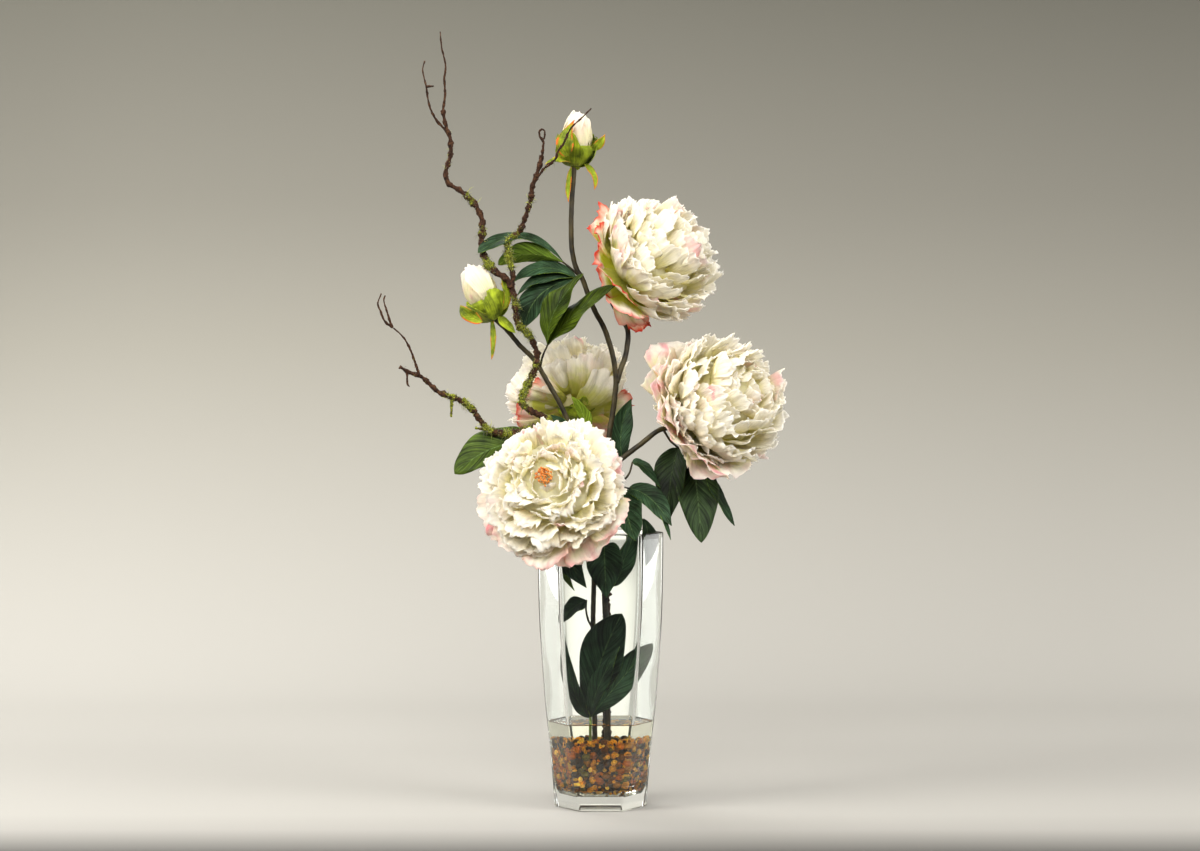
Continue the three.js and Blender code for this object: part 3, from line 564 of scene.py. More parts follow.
@dataclass(frozen=True)
class LeafCloth(Finish):
    """Printed and pressed polyester leaf cloth.

    The hot press leaves a raised midrib and side veins, and its coating gives the upper side a
    faint waxy shine. The underside is printed lighter and yellower. The print lies in clouds
    22 mm wide, and the weave is drawn 1.1 mm wide, coarser than it is, so that it shows.
    """

    deep: str
    light: str
    olive_deep: str
    olive_light: str
    rib: str
    roughness: float
    veins: float = 13.0
    streaks: float = 34.0
    clouds_per_metre: float = 45.0
    threads_per_metre: float = 900.0
    vein_height: float = 0.0006
    glow: float = 0.12

    def shade(self, add: AddNode) -> bpy.types.Node:
        """Adds the veins from the UV map and the colours from the place and the marks.

        The distance from the midrib bends the side veins forward. A side vein is a narrow peak
        once in each step along the blade. One mark darkens the leaves that lie in shade, as
        painted shade. The streaks along the veins are printed, and their lighter parts also paint
        sheen, a painted highlight.

        Args:
            add: adds a node to the material.

        Returns:
            The shader.
        """
        # The first mark is painted shade: lower for leaves that lie in shade.
        tone, olive = [
            add("Attribute", attribute_name=mark).outputs["Fac"] for mark in ("tone", "olive")]
        across, along, _ = add("SeparateXYZ", add("UVMap", uv_map="form")).outputs
        centred = add("Math", across, 2.0, -1.0, operation="MULTIPLY_ADD")
        off = add("Math", centred, operation="ABSOLUTE")
        slant = add("Math", off, -0.3, along, operation="MULTIPLY_ADD")
        paced = add("Math", slant, self.veins, operation="MULTIPLY")
        cycle = add("Math", paced, 0.5, operation="PINGPONG")
        side = add("MapRange", cycle, 0.0, 0.09, 1.0, 0.0, interpolation_type=SMOOTH)
        midrib = add("MapRange", off, 0.01, 0.055, 1.0, 0.0, interpolation_type=SMOOTH)
        faint = add("Math", side, 0.16, operation="MULTIPLY")
        printed = add("Math", faint, midrib, operation="MAXIMUM")
        place = add("TexCoord").outputs["Object"]
        cloud = add("TexNoise", place, Scale=self.clouds_per_metre, Detail=4.0)
        blue_green, olive_green = [
            add("ValToRGB", cloud, stops=[(0.3, dark), (0.7, bright)]) for dark, bright in (
                (self.deep, self.light), (self.olive_deep, self.olive_light))]
        lane = add(
            "CombineXYZ", add("Math", slant, self.streaks, operation="MULTIPLY"),
            add("Math", across, 1.6, operation="MULTIPLY"))
        # The streaks are printed veins, and their lightest parts, up to nearly twice as bright, are
        # painted sheen.
        print_and_sheen_streak = add("TexNoise", lane, Scale=1.0, Detail=4.0)
        depth = add("MapRange", print_and_sheen_streak, 0.36, 0.64, 0.4, 1.9)
        # Painted shade: each leaf's mark darkens it where it lies in shade.
        streaked_and_shaded = add("Math", depth, tone, operation="MULTIPLY")
        blade = add("MixRGB", olive, blue_green, olive_green)
        ribbed = add("Math", printed, 0.3, operation="MULTIPLY")
        veined = add("MixRGB", ribbed, blade, self.rib)
        colour = add("VectorMath", veined, operation="SCALE", Scale=streaked_and_shaded)
        weave = add("TexNoise", place, Scale=self.threads_per_metre, Detail=3.0)
        pressed = add("Math", side, midrib, operation="MAXIMUM")
        relief = add("Math", weave, 0.35, pressed, operation="MULTIPLY_ADD")
        bump = add("Bump", Strength=0.55, Distance=self.vein_height, Height=relief)
        surface = add(
            "BsdfPrincipled", colour, Roughness=self.roughness, Specular_IOR_Level=0.07,
            Normal=bump)
        return add("MixShader", self.glow, surface, add("BsdfTranslucent", colour))


@dataclass(frozen=True)
class SepalCloth(Finish):
    """Moulded sepal cloth, airbrushed yellow-green with coral edges.

    The spray is uneven, in clouds 11 mm wide, so the green runs from lime to olive, and some
    rims glow orange. The cloth's fibres run along each sepal and give it fine ribs.
    """

    name: str = "sepal_cloth"
    deep: str = "#434f07"
    light: str = "#9ba922"
    coral: str = "#c8521c"
    clouds_per_metre: float = 90.0
    fibres_across: float = 18.0
    fibres_along: float = 2.0
    fibre_depth: float = 0.0005
    glow: float = 0.15

    def shade(self, add: AddNode) -> bpy.types.Node:
        """Adds the green, the coral rims and the fibres.

        Args:
            add: adds a node to the material.

        Returns:
            The shader.
        """
        edge, coral = [
            add("Attribute", attribute_name=mark).outputs["Fac"] for mark in ("edge", "coral")]
        place = add("TexCoord").outputs["Object"]
        cloud = add("TexNoise", place, Scale=self.clouds_per_metre, Detail=4.0)
        green = add("ValToRGB", cloud, stops=[(0.3, self.deep), (0.7, self.light)])
        rim = add("MapRange", edge, 0.42, 0.9, interpolation_type=SMOOTH)
        patch = add("MapRange", cloud, 0.38, 0.56, interpolation_type=SMOOTH)
        uneven = add("Math", rim, patch, operation="MULTIPLY")
        dipped = add("Math", uneven, coral, operation="MULTIPLY")
        stretched = add("Mapping", add("UVMap", uv_map="form"), Scale=(
            self.fibres_across, self.fibres_along, 1.0))
        fibre = add("TexNoise", stretched, Scale=1.0, Detail=3.0)
        depth = add("MapRange", fibre, 0.36, 0.64, 0.6, 1.3)
        streaked = add("VectorMath", green, operation="SCALE", Scale=depth)
        colour = add("MixRGB", dipped, streaked, self.coral)
        bump = add("Bump", Strength=0.35, Distance=self.fibre_depth, Height=fibre)
        surface = add(
            "BsdfPrincipled", colour, Roughness=0.6, Specular_IOR_Level=0.15,
            Sheen_Weight=0.04, Normal=bump)
        return add("MixShader", self.glow, surface, add("BsdfTranslucent", colour))


@dataclass(frozen=True)
class StemCoat(Finish):
    """Extruded polyethylene over wire: satin, with fine ribs along it and a mottled tint.

    The ribs are 0.7 mm apart, and the tint changes about every 14 mm.
    """

    dark: str
    light: str
    clouds_per_metre: float = 70.0
    ribs_per_metre: tuple[float, float, float] = (1500.0, 1500.0, 90.0)
    rib_depth: float = 0.0003

    def shade(self, add: AddNode) -> bpy.types.Node:
        """Adds the tint and the ribs.

        Args:
            add: adds a node to the material.

        Returns:
            The shader.
        """
        place = add("TexCoord").outputs["Object"]
        mottle = add("TexNoise", place, Scale=self.clouds_per_metre, Detail=5.0)
        colour = add("ValToRGB", mottle, stops=[(0.35, self.dark), (0.72, self.light)])
        drawn = add("Mapping", place, Scale=self.ribs_per_metre)
        ribs = add("TexNoise", drawn, Scale=1.0, Detail=2.0)
        bump = add("Bump", Strength=0.4, Distance=self.rib_depth, Height=ribs)
        return add(
            "BsdfPrincipled", colour, Roughness=0.55, Specular_IOR_Level=0.22, Normal=bump)


@dataclass(frozen=True)
class CurlyBark(Finish):
    """The dry bark of a contorted twig: rough and ringed, dark red-brown, greyer on its ridges.

    Its ridges are about 3 mm apart and its cracks 2.4 mm. Where moss is tied on, crumbs of felt
    a millimetre wide stick to it.
    """

    name: str = "curly_bark"
    deep: str = "#120a05"
    middle: str = "#301c10"
    ridge: str = "#573a22"
    felt_dark: str = "#1d1a08"
    felt: str = "#565c14"
    felt_light: str = "#9da032"
    ridges_per_metre: float = 320.0
    cracks_per_metre: float = 420.0
    patches_per_metre: float = 190.0
    crumbs_per_metre: float = 900.0
    crack_depth: float = 0.0008

    def shade(self, add: AddNode) -> bpy.types.Node:
        """Adds ridges from noise, cracks from cells, and the felt where the bark is mossy.

        Args:
            add: adds a node to the material.

        Returns:
            The shader.
        """
        moss = add("Attribute", attribute_name="moss").outputs["Fac"]
        place = add("TexCoord").outputs["Object"]
        ridges = add(
            "TexNoise", place, Scale=self.ridges_per_metre, Detail=6.0, Roughness=0.65)
        colour = add("ValToRGB", ridges, stops=[
            (0.32, self.deep), (0.52, self.middle), (0.75, self.ridge)])
        patch = add("TexNoise", place, Scale=self.patches_per_metre, Detail=5.0)
        amount = add("Math", patch, moss, operation="MULTIPLY")
        film = add("MapRange", amount, 0.24, 0.36, interpolation_type=SMOOTH)
        crumbs = add("TexNoise", place, Scale=self.crumbs_per_metre, Detail=3.0)
        felt = add("ValToRGB", crumbs, stops=[
            (0.36, self.felt_dark), (0.52, self.felt), (0.68, self.felt_light)])
        stained = add("MixRGB", film, colour, felt)
        cracks = add("TexVoronoi", place, Scale=self.cracks_per_metre)
        relief = add("Math", cracks, 0.6, ridges, operation="MULTIPLY_ADD")
        bump = add("Bump", Strength=0.9, Distance=self.crack_depth, Height=relief)
        return add(
            "BsdfPrincipled", stained, Roughness=0.85, Specular_IOR_Level=0.15, Normal=bump)


@dataclass(frozen=True)
class MossFibre(Finish):
    """Dried and dyed moss: matt frayed fibres, most from olive to bright green, some brown."""

    name: str = "moss_fibre"
    soil: str = "#23150b"
    brown: str = "#2f2110"
    dark: str = "#50570f"
    light: str = "#abaf2c"

    def shade(self, add: AddNode) -> bpy.types.Node:
        """Adds a colour for each tuft's tint.

        Args:
            add: adds a node to the material.

        Returns:
            The shader.
        """
        tint = add("Attribute", attribute_name="tint").outputs["Fac"]
        colour = add("ValToRGB", tint, stops=[
            (0.0, self.soil), (0.4, self.brown), (0.5, self.dark), (1.0, self.light)])
        return add("BsdfPrincipled", colour, Roughness=0.9, Sheen_Weight=0.2)


@dataclass(frozen=True)
class PressedGlass(Finish):
    """Clear soda-lime glass, pressed and fire-polished, with faint waves 70 mm long."""

    name: str = "pressed_glass"
    tint: str = "#fafdfb"
    ior: float = 1.5
    waves_per_metre: float = 14.0
    wave_depth: float = 0.002

    def shade(self, add: AddNode) -> bpy.types.Node:
        """Adds the glass and its waves.

        Args:
            add: adds a node to the material.

        Returns:
            The shader.
        """
        place = add("TexCoord").outputs["Object"]
        wave = add("TexNoise", place, Scale=self.waves_per_metre, Detail=1.0)
        bump = add("Bump", Strength=0.05, Distance=self.wave_depth, Height=wave)
        return add(
            "BsdfPrincipled", self.tint, Roughness=0.0, IOR=self.ior, Transmission_Weight=1.0,
            Specular_IOR_Level=0.3, Normal=bump)


@dataclass(frozen=True)
class StillWater(Finish):
    """Still water, very slightly yellow, which brightens what lies in it."""

    name: str = "still_water"
    tint: str = "#fbf8ea"
    ior: float = 1.333

    def shade(self, add: AddNode) -> bpy.types.Node:
        """Adds the water."""
        return add(
            "BsdfPrincipled", self.tint, Roughness=0.0, IOR=self.ior, Transmission_Weight=1.0)


@dataclass(frozen=True)
class RiverPebble(Finish):
    """Tumbled river pebbles under water, from black-brown over amber to pale gold.

    Water fills their pores, so their colours are deep. Their index is given against water's, and
    so they hardly shine. Specks and bands on them are about 2.4 mm wide.
    """

    name: str = "river_pebble"
    colours: tuple[str, ...] = (
        "#2a1804", "#b4700c", "#5a3006", "#d69a30", "#874508", "#c27e12", "#3e2609", "#e0b044",
        "#9c4f0b", "#54480f", "#ae5d12", "#75450b", "#c8952a", "#2c1b07", "#b3740e", "#8d5914",
    )
    bands_per_metre: float = 420.0
    ior_in_water: float = 1.16

    def shade(self, add: AddNode) -> bpy.types.Node:
        """Adds a colour for each pebble's tint, with specks and bands.

        Args:
            add: adds a node to the material.

        Returns:
            The shader.
        """
        stops = [(k / len(self.colours), code) for k, code in enumerate(self.colours)]
        tint = add("Attribute", attribute_name="tint").outputs["Fac"]
        colour = add("ValToRGB", tint, stops=stops, steps="CONSTANT")
        place = add("TexCoord").outputs["Object"]
        bands = add("TexNoise", place, Scale=self.bands_per_metre, Detail=4.0, Distortion=1.5)
        shades = add("MapRange", bands, 0.32, 0.68, 0.6, 2.5)
        mixed = add("MixRGB", 1.0, colour, shades, blend_type="MULTIPLY")
        return add(
            "BsdfPrincipled", mixed, Roughness=0.35, IOR=self.ior_in_water,
            Specular_IOR_Level=0.1)


@dataclass(frozen=True)
class AntherFlock(Finish):
    """Flocked anthers on dyed threads: matt saturated orange with darker tips."""

    name: str = "anther_flock"
    thread: str = "#f2c14a"
    flock: str = "#e39a18"
    tip: str = "#c67209"

    def shade(self, add: AddNode) -> bpy.types.Node:
        """Adds the colours along each pin.

        Args:
            add: adds a node to the material.

        Returns:
            The shader.
        """
        tint = add("Attribute", attribute_name="tint").outputs["Fac"]
        colour = add("ValToRGB", tint, stops=[
            (0.0, self.thread), (0.55, self.flock), (1.0, self.tip)])
        return add("BsdfPrincipled", colour, Roughness=0.8, Sheen_Weight=0.3)


@dataclass(frozen=True)
class StudioPaint(Finish):
    """Matt paper: a pale floor that darkens to the front, and a sweep that darkens upwards.

    Both darkenings are painted shade. A lighter patch on the sweep stands behind the vase, a
    painted glow, so that the glass looks bright. The left is painted a little lighter than the
    right, as painted light. The paper's back isn't drawn, so that it hides nothing from a camera
    behind it.
    """

    name: str = "studio_paper_painted_light"
    floor: str = "#999690"
    # The sweep's colours, from its foot up: darker upwards, as painted shade.
    foot: str = "#9b9892"
    middle: str = "#827f76"
    top: str = "#5d5b53"
    # Painted shade: a ramp that darkens the floor towards the front, over distances in metres.
    near: tuple[tuple[float, str], ...] = (
        (0.0, "#1c1c1c"), (0.5, "#868686"), (0.6, "#cccccc"), (0.68, "#f0f0f0"), (0.8, "#ffffff"),
    )
    painted_front_shade_from: float = -0.7
    painted_front_shade_to: float = 0.1
    sweep_height: float = 1.2
    floor_end: float = 0.52
    # The painted glow behind the vase: its half width and top in metres, and how much lighter it
    # makes the paper.
    painted_glow_half: float = 0.075
    painted_glow_top: float = 0.19
    painted_glow_gain: float = 1.0
    # Painted light: the paper is drawn lighter on the left and darker on the right.
    side_at: float = 0.7
    painted_left_light: float = 1.05
    painted_right_light: float = 0.9

    def shade(self, add: AddNode) -> bpy.types.Node:
        """Adds the paper's tones.

        The floor gives way to the sweep over 200 mm, and its colour is multiplied by a ramp of
        painted shade over the distance from the front. The patch, a painted glow, is the product
        of three soft steps: sideways, upwards and away from the floor's end. A ramp from left to
        right paints light that is stronger on the left.

        Args:
            add: adds a node to the material.

        Returns:
            The shader.
        """
        x, y, z = add("SeparateXYZ", add("TexCoord").outputs["Object"]).outputs
        # Painted shade: the sweep darkens upwards.
        sweep = add("ValToRGB", add("MapRange", z, 0.0, self.sweep_height), stops=[
            (0.0, self.foot), (0.4, self.middle), (0.85, self.top)])
        behind = add(
            "MapRange", y, self.floor_end - 0.1, self.floor_end + 0.1, interpolation_type=SMOOTH)
        colour = add("MixRGB", behind, self.floor, sweep)
        # Painted shade: the floor darkens towards the front.
        ahead = add("MapRange", y, self.painted_front_shade_from, self.painted_front_shade_to)
        near = add("ValToRGB", ahead, stops=self.near)
        shaded = add("MixRGB", 1.0, colour, near, blend_type="MULTIPLY")
        # Painted glow: a lighter patch on the sweep behind the vase.
        aside, low, away = [
            add("MapRange", follows, start, end, interpolation_type=SMOOTH)
            for follows, start, end in (
                (add("Math", x, operation="ABSOLUTE"), self.painted_glow_half, 0.4 * self.painted_glow_half),
                (z, self.painted_glow_top, 0.6 * self.painted_glow_top),
                (y, self.floor_end, self.floor_end + 0.2),
            )]
        patch = add(
            "Math", add("Math", aside, low, operation="MULTIPLY"), away, operation="MULTIPLY")
        painted_glow = add("Math", patch, self.painted_glow_gain, 1.0, operation="MULTIPLY_ADD")
        # Painted light: lighter on the left than on the right.
        across = add(
            "MapRange", x, -self.side_at, self.side_at, self.painted_left_light, self.painted_right_light)
        both = add("Math", painted_glow, across, operation="MULTIPLY")
        lit = add("VectorMath", shaded, operation="SCALE", Scale=both)
        surface = add("BsdfPrincipled", lit, Roughness=0.7, Specular_IOR_Level=0.1)
        from_behind = add("NewGeometry").outputs["Backfacing"]
        return add("MixShader", from_behind, surface, add("BsdfTransparent"))


class Cover(Enum):
    """The finishes that the arrangement's pieces can have."""

    PETAL = PetalCloth()
    LEAF = LeafCloth(
        "leaf_cloth_upper", "#121b0d", "#314830", "#243106", "#4f6013", "#6b864d", 0.42)
    LEAF_UNDER = LeafCloth(
        "leaf_cloth_under", "#3c4f18", "#5d7323", "#3f5012", "#67791f", "#8a9c4c", 0.6)
    SEPAL = SepalCloth()
    STEM = StemCoat("stem_coat", "#17130b", "#40371c")
    GREEN_STEM = StemCoat("green_stem_coat", "#4a5f18", "#84983a")
    BARK = CurlyBark()
    MOSS = MossFibre()
    GLASS = PressedGlass()
    WATER = StillWater()
    PEBBLE = RiverPebble()
    ANTHER = AntherFlock()


# Studio


@dataclass
class Light:
    """One oblong soft light: where it stands and what it is turned to in metres, and its watts."""

    name: str
    place: tuple[float, float, float]
    target: tuple[float, float, float]
    size: tuple[float, float]
    power: float
    colour: str = "#ffffff"

    def build(self) -> None:
        """Adds the light."""
        data = bpy.data.lights.new(self.name, "AREA")
        data.shape = "RECTANGLE"
        data.size, data.size_y = self.size
        data.energy = self.power
        data.color = linear(self.colour)[:3]
        light = bpy.data.objects.new(self.name, data)
        light.location = self.place
        way = Vector(self.target) - Vector(self.place)
        light.rotation_euler = way.to_track_quat("-Z", "Y").to_euler()
        bpy.context.scene.collection.objects.link(light)


@dataclass
class Studio:
    """The camera at the photograph's angle, the pale floor with its backdrop, and soft light.

    Its sizes are in metres and its camera's in millimetres and degrees. The two cards stand
    behind the vase at its sides and give the glass bright edges.
    """

    lens: float = 90.0
    sensor: float = 36.0
    eye_side: float = -0.5
    tilt_down: float = 0.93
    far_end: float = 50.0
    floor_half: float = 4.0
    backdrop_at: float = 1.6
    backdrop_height: float = 3.2
    bend: float = 0.7
    floor_gap: float = 0.0002
    world_colour: str = "#f3f1ea"
    world_low: float = 0.4
    world_high: float = 0.95
    lights: tuple[Light, ...] = (
        Light("key", (-2.3, -1.5, 2.3), (0.0, 0.0, 0.42), (1.6, 1.6), 117.0, "#fffefb"),
        Light("front", (-0.4, -2.6, 1.9), (0.0, 0.0, 0.42), (2.2, 1.2), 102.0),
        Light("fill", (2.2, -1.5, 1.5), (0.0, 0.0, 0.42), (1.6, 1.6), 82.0),
        Light("back", (-0.8, 1.2, 2.0), (0.0, 0.0, 0.5), (0.9, 0.9), 28.0),
        Light("left_card", (-1.3, 1.15, 0.5), (0.0, 0.0, 0.3), (0.4, 1.3), 3.8),
        Light("right_card", (1.3, 1.15, 0.5), (0.0, 0.0, 0.3), (0.4, 1.3), 2.6),
    )

    def build(self) -> None:
        """Sets up the camera, the floor and the lights."""
        self.camera()
        self.floor()
        for light in self.lights:
            light.build()
        self.world()
        LOG.info("studio ready")

    def camera(self) -> None:
        """Puts the camera where the photograph was taken from."""
        data = bpy.data.cameras.new("camera")
        data.lens = self.lens
        data.sensor_width = self.sensor
        data.clip_end = self.far_end
        camera = bpy.data.objects.new("camera", data)
        camera.location = (self.eye_side * MM, -EYE_DISTANCE * MM, EYE_HEIGHT * MM)
        camera.rotation_euler = (math.radians(90 - self.tilt_down), 0, 0)
        bpy.context.scene.collection.objects.link(camera)
        bpy.context.scene.camera = camera
        bpy.context.scene.view_settings.view_transform = "Standard"

    def floor(self) -> None:
        """Makes the floor and the backdrop as one sheet, bent by a quarter circle between them."""
        turn = np.linspace(0, np.pi / 2, 17)
        y = np.concatenate([
            [-self.floor_half, -0.5, 0.4], self.backdrop_at - self.bend * (1 - np.sin(turn)),
            [self.backdrop_at]])
        z = np.concatenate([
            [0.0, 0.0, 0.0], self.bend * (1 - np.cos(turn)), [self.backdrop_height]])
        x = np.linspace(-self.floor_half, self.floor_half, 3)
        points = np.stack(np.broadcast_arrays(x[None], y[:, None], z[:, None] - self.floor_gap), -1)
        surface = Surface.from_grid(points, Side.BACK)
        mesh = bpy.data.meshes.new("studio_floor")
        mesh.from_pydata(surface.points.tolist(), [], surface.faces.tolist())
        mesh.polygons.foreach_set("use_smooth", np.ones(len(mesh.polygons), dtype=bool))
        mesh.materials.append(StudioPaint().build())
        floor = bpy.data.objects.new("studio_floor", mesh)
        bpy.context.scene.collection.objects.link(floor)

    def world(self) -> None:
        """Gives the world an even light that is stronger from above."""
        world = bpy.data.worlds.new("studio_light")
        bpy.context.scene.world = world
        world.use_nodes = True
        world.node_tree.nodes.clear()
        add = partial(add_node, world.node_tree)
        height = add("SeparateXYZ", add("TexCoord").outputs["Generated"]).outputs["Z"]
        strength = add(
            "MapRange", height, 0.1, 0.75, self.world_low, self.world_high,
            interpolation_type=SMOOTH)
        add("OutputWorld", add("Background", self.world_colour, strength))


# Vase, water and pebbles


def plan_at(height: np.ndarray, inset: np.ndarray) -> np.ndarray:
    """The vase's plan at some heights, moved inwards by an even inset.

    The side edges move in by the inset over the sine of the side faces' slant, and the front
    face's half width shrinks so that the side faces stay parallel to themselves.

    Args:
        height: the heights.
        inset: how far inside the outer skin, one for each height.

    Returns:
        Rows of half width, half front face and half depth.
    """
    width, face, depth = [
        smooth_values(height, VASE_PLANS[:, 0], column) for column in VASE_PLANS.T[1:]
    ]
    inner_width = width - inset * np.hypot(width - face, depth) / depth
    inner_depth = depth - inset
    inner_face = inner_width - (width - face) * inner_depth / depth
    return np.stack([inner_width, inner_face, inner_depth], axis=1)


def vase_rings(
    height: np.ndarray, inset: np.ndarray, shrink: np.ndarray, rounding: float,
) -> np.ndarray:
    """Six-sided rings with softened corners.

    Each corner is replaced by a short curve between a point on each of its two sides, drawn
    towards the corner.

    Args:
        height: the rings' heights.
        inset: how far inside the outer skin each one lies.
        shrink: a share by which each one is drawn in to the middle.
        rounding: how far from a corner its curve starts.

    Returns:
        Rings of points, first point repeated at the end.
    """
    width, face, depth = plan_at(height, inset).T
    none = np.zeros_like(width)
    x = np.stack([width, face, -face, -width, -face, face], axis=1)
    y = np.stack([none, depth, depth, none, -depth, -depth], axis=1)
    corners = np.stack([x, y], axis=2) * shrink[:, None, None]
    least = np.minimum(shrink, 1)[:, None, None]
    start, end = [
        corners + rounding * unit(np.roll(corners, step, axis=1) - corners) * least
        for step in (1, -1)
    ]
    t = np.linspace(0, 1, 5)[None, None, :, None]
    soft = bezier(start[:, :, None], corners[:, :, None], end[:, :, None], t)
    flat = soft.reshape(len(height), -1, 2)
    flat = np.concatenate([flat, flat[:, :1]], axis=1)
    up = np.broadcast_to(height[:, None, None], flat.shape[:2] + (1,))
    return np.concatenate([flat, up], axis=2)


def cavity_shrink(height: np.ndarray | float) -> np.ndarray | float:
    """How far the inside is drawn in near its floor, where it is rounded like a bowl."""
    low = np.clip(1 - (height - VASE_FLOOR) / BOWL_HEIGHT, 0, 1)
    return 1 - 0.2 * low ** 2.2


def cavity_foot() -> np.ndarray:
    """Heights up the rounded foot of the cavity, close together where it turns fastest."""
    return VASE_FLOOR + BOWL_HEIGHT * np.linspace(0, 1, 9) ** 1.5


def ring_rows(*parts: tuple[np.ndarray | float, ...]) -> list[np.ndarray]:
    """Joins the parts of a vase profile, each the heights, insets and shares of some rings."""
    return [np.concatenate(column) for column in zip(*(np.broadcast_arrays(*p) for p in parts))]


@dataclass
class GlassVase:
    """The vase with its water: one wall of glass, and a body of water that fills its foot.

    Rim and foot are the radii of their rounded edges. The water climbs up the wall by the
    meniscus, over about its reach, and lies a little lower than it stands in the glass.
    """

    rim: float = 1.5
    foot: float = 1.6
    glass_corner: float = 2.5
    water_corner: float = 2.0
    meniscus: float = 1.3
    meniscus_reach: float = 1.4
    sunk: float = 0.06
    lowered: float = 0.02
    sharp_above: float = 40.0
    spokes: tuple[float, float, float] = (1e-6, 0.3, 0.7)
    top_spokes: tuple[float, float, float] = (0.7, 0.35, 1e-6)

    def glass(self) -> Surface:
        """The wall: out over the foot, up the outside, round the rim and down the inside.

        Each ring has a height, an inset from the outer skin and a share by which it is drawn in.
        Those of the rings across the foot and across the cavity's floor are the spokes.

        Returns:
            A closed surface.
        """
        turn = np.linspace(0, np.pi / 2, 5)
        up = np.linspace(self.foot, VASE_HEIGHT - self.rim, 56)[1:-1]
        over = np.linspace(0, np.pi, 9)
        down = np.concatenate([
            np.linspace(VASE_HEIGHT - self.rim, VASE_FLOOR + BOWL_HEIGHT, 52)[1:],
            cavity_foot()[-2::-1],
        ])
        centre = np.array(self.spokes)
        rows = ring_rows(
            (0.0, self.foot, centre),
            (self.foot * (1 - np.cos(turn)), self.foot * (1 - np.sin(turn)), 1.0),
            (up, 0.0, 1.0),
            (VASE_HEIGHT - self.rim + self.rim * np.sin(over), self.rim * (1 - np.cos(over)), 1.0),
            (down, VASE_WALL, cavity_shrink(down)),
            (VASE_FLOOR, VASE_WALL, centre[::-1] * cavity_shrink(VASE_FLOOR)),
        )
        return Surface.from_grid(vase_rings(*rows, self.glass_corner))

    def water(self) -> Surface:
        """The water: from the cavity's floor up its wall, with a meniscus, and in over the top.

        It reaches a hair into the glass, so that no film of air shows between them. Inwards from
        the wall the meniscus falls off as an exponential.

        Returns:
            A closed surface.
        """
        wall = np.concatenate([
            cavity_foot(),
            np.linspace(VASE_FLOOR + BOWL_HEIGHT, WATER_LEVEL + self.meniscus, 16)[1:],
        ])
        top_inset = np.array([0.5, 1.2, 2.4, 4.5])
        top = WATER_LEVEL + self.meniscus * np.exp(-top_inset / self.meniscus_reach)
        skin = VASE_WALL - self.sunk
        height, inset, shrink = ring_rows(
            (VASE_FLOOR, skin, np.array(self.spokes) * cavity_shrink(VASE_FLOOR)),
            (wall, skin, cavity_shrink(wall)),
            (top, VASE_WALL + top_inset, 1.0),
            (WATER_LEVEL, VASE_WALL + top_inset[-1], self.top_spokes),
        )
        return Surface.from_grid(
            vase_rings(height - self.lowered, inset, shrink, self.water_corner))

    def build(self) -> None:
        """Makes the glass and the water."""
        Piece("glass_vase", self.glass(), [Cover.GLASS], "glass", ("vase_glass",),
              closed=True, sharp_above=self.sharp_above).make()
        Piece("vase_water_body", self.water(), [Cover.WATER], "water", ("vase_water",),
              closed=True, sharp_above=self.sharp_above).make()


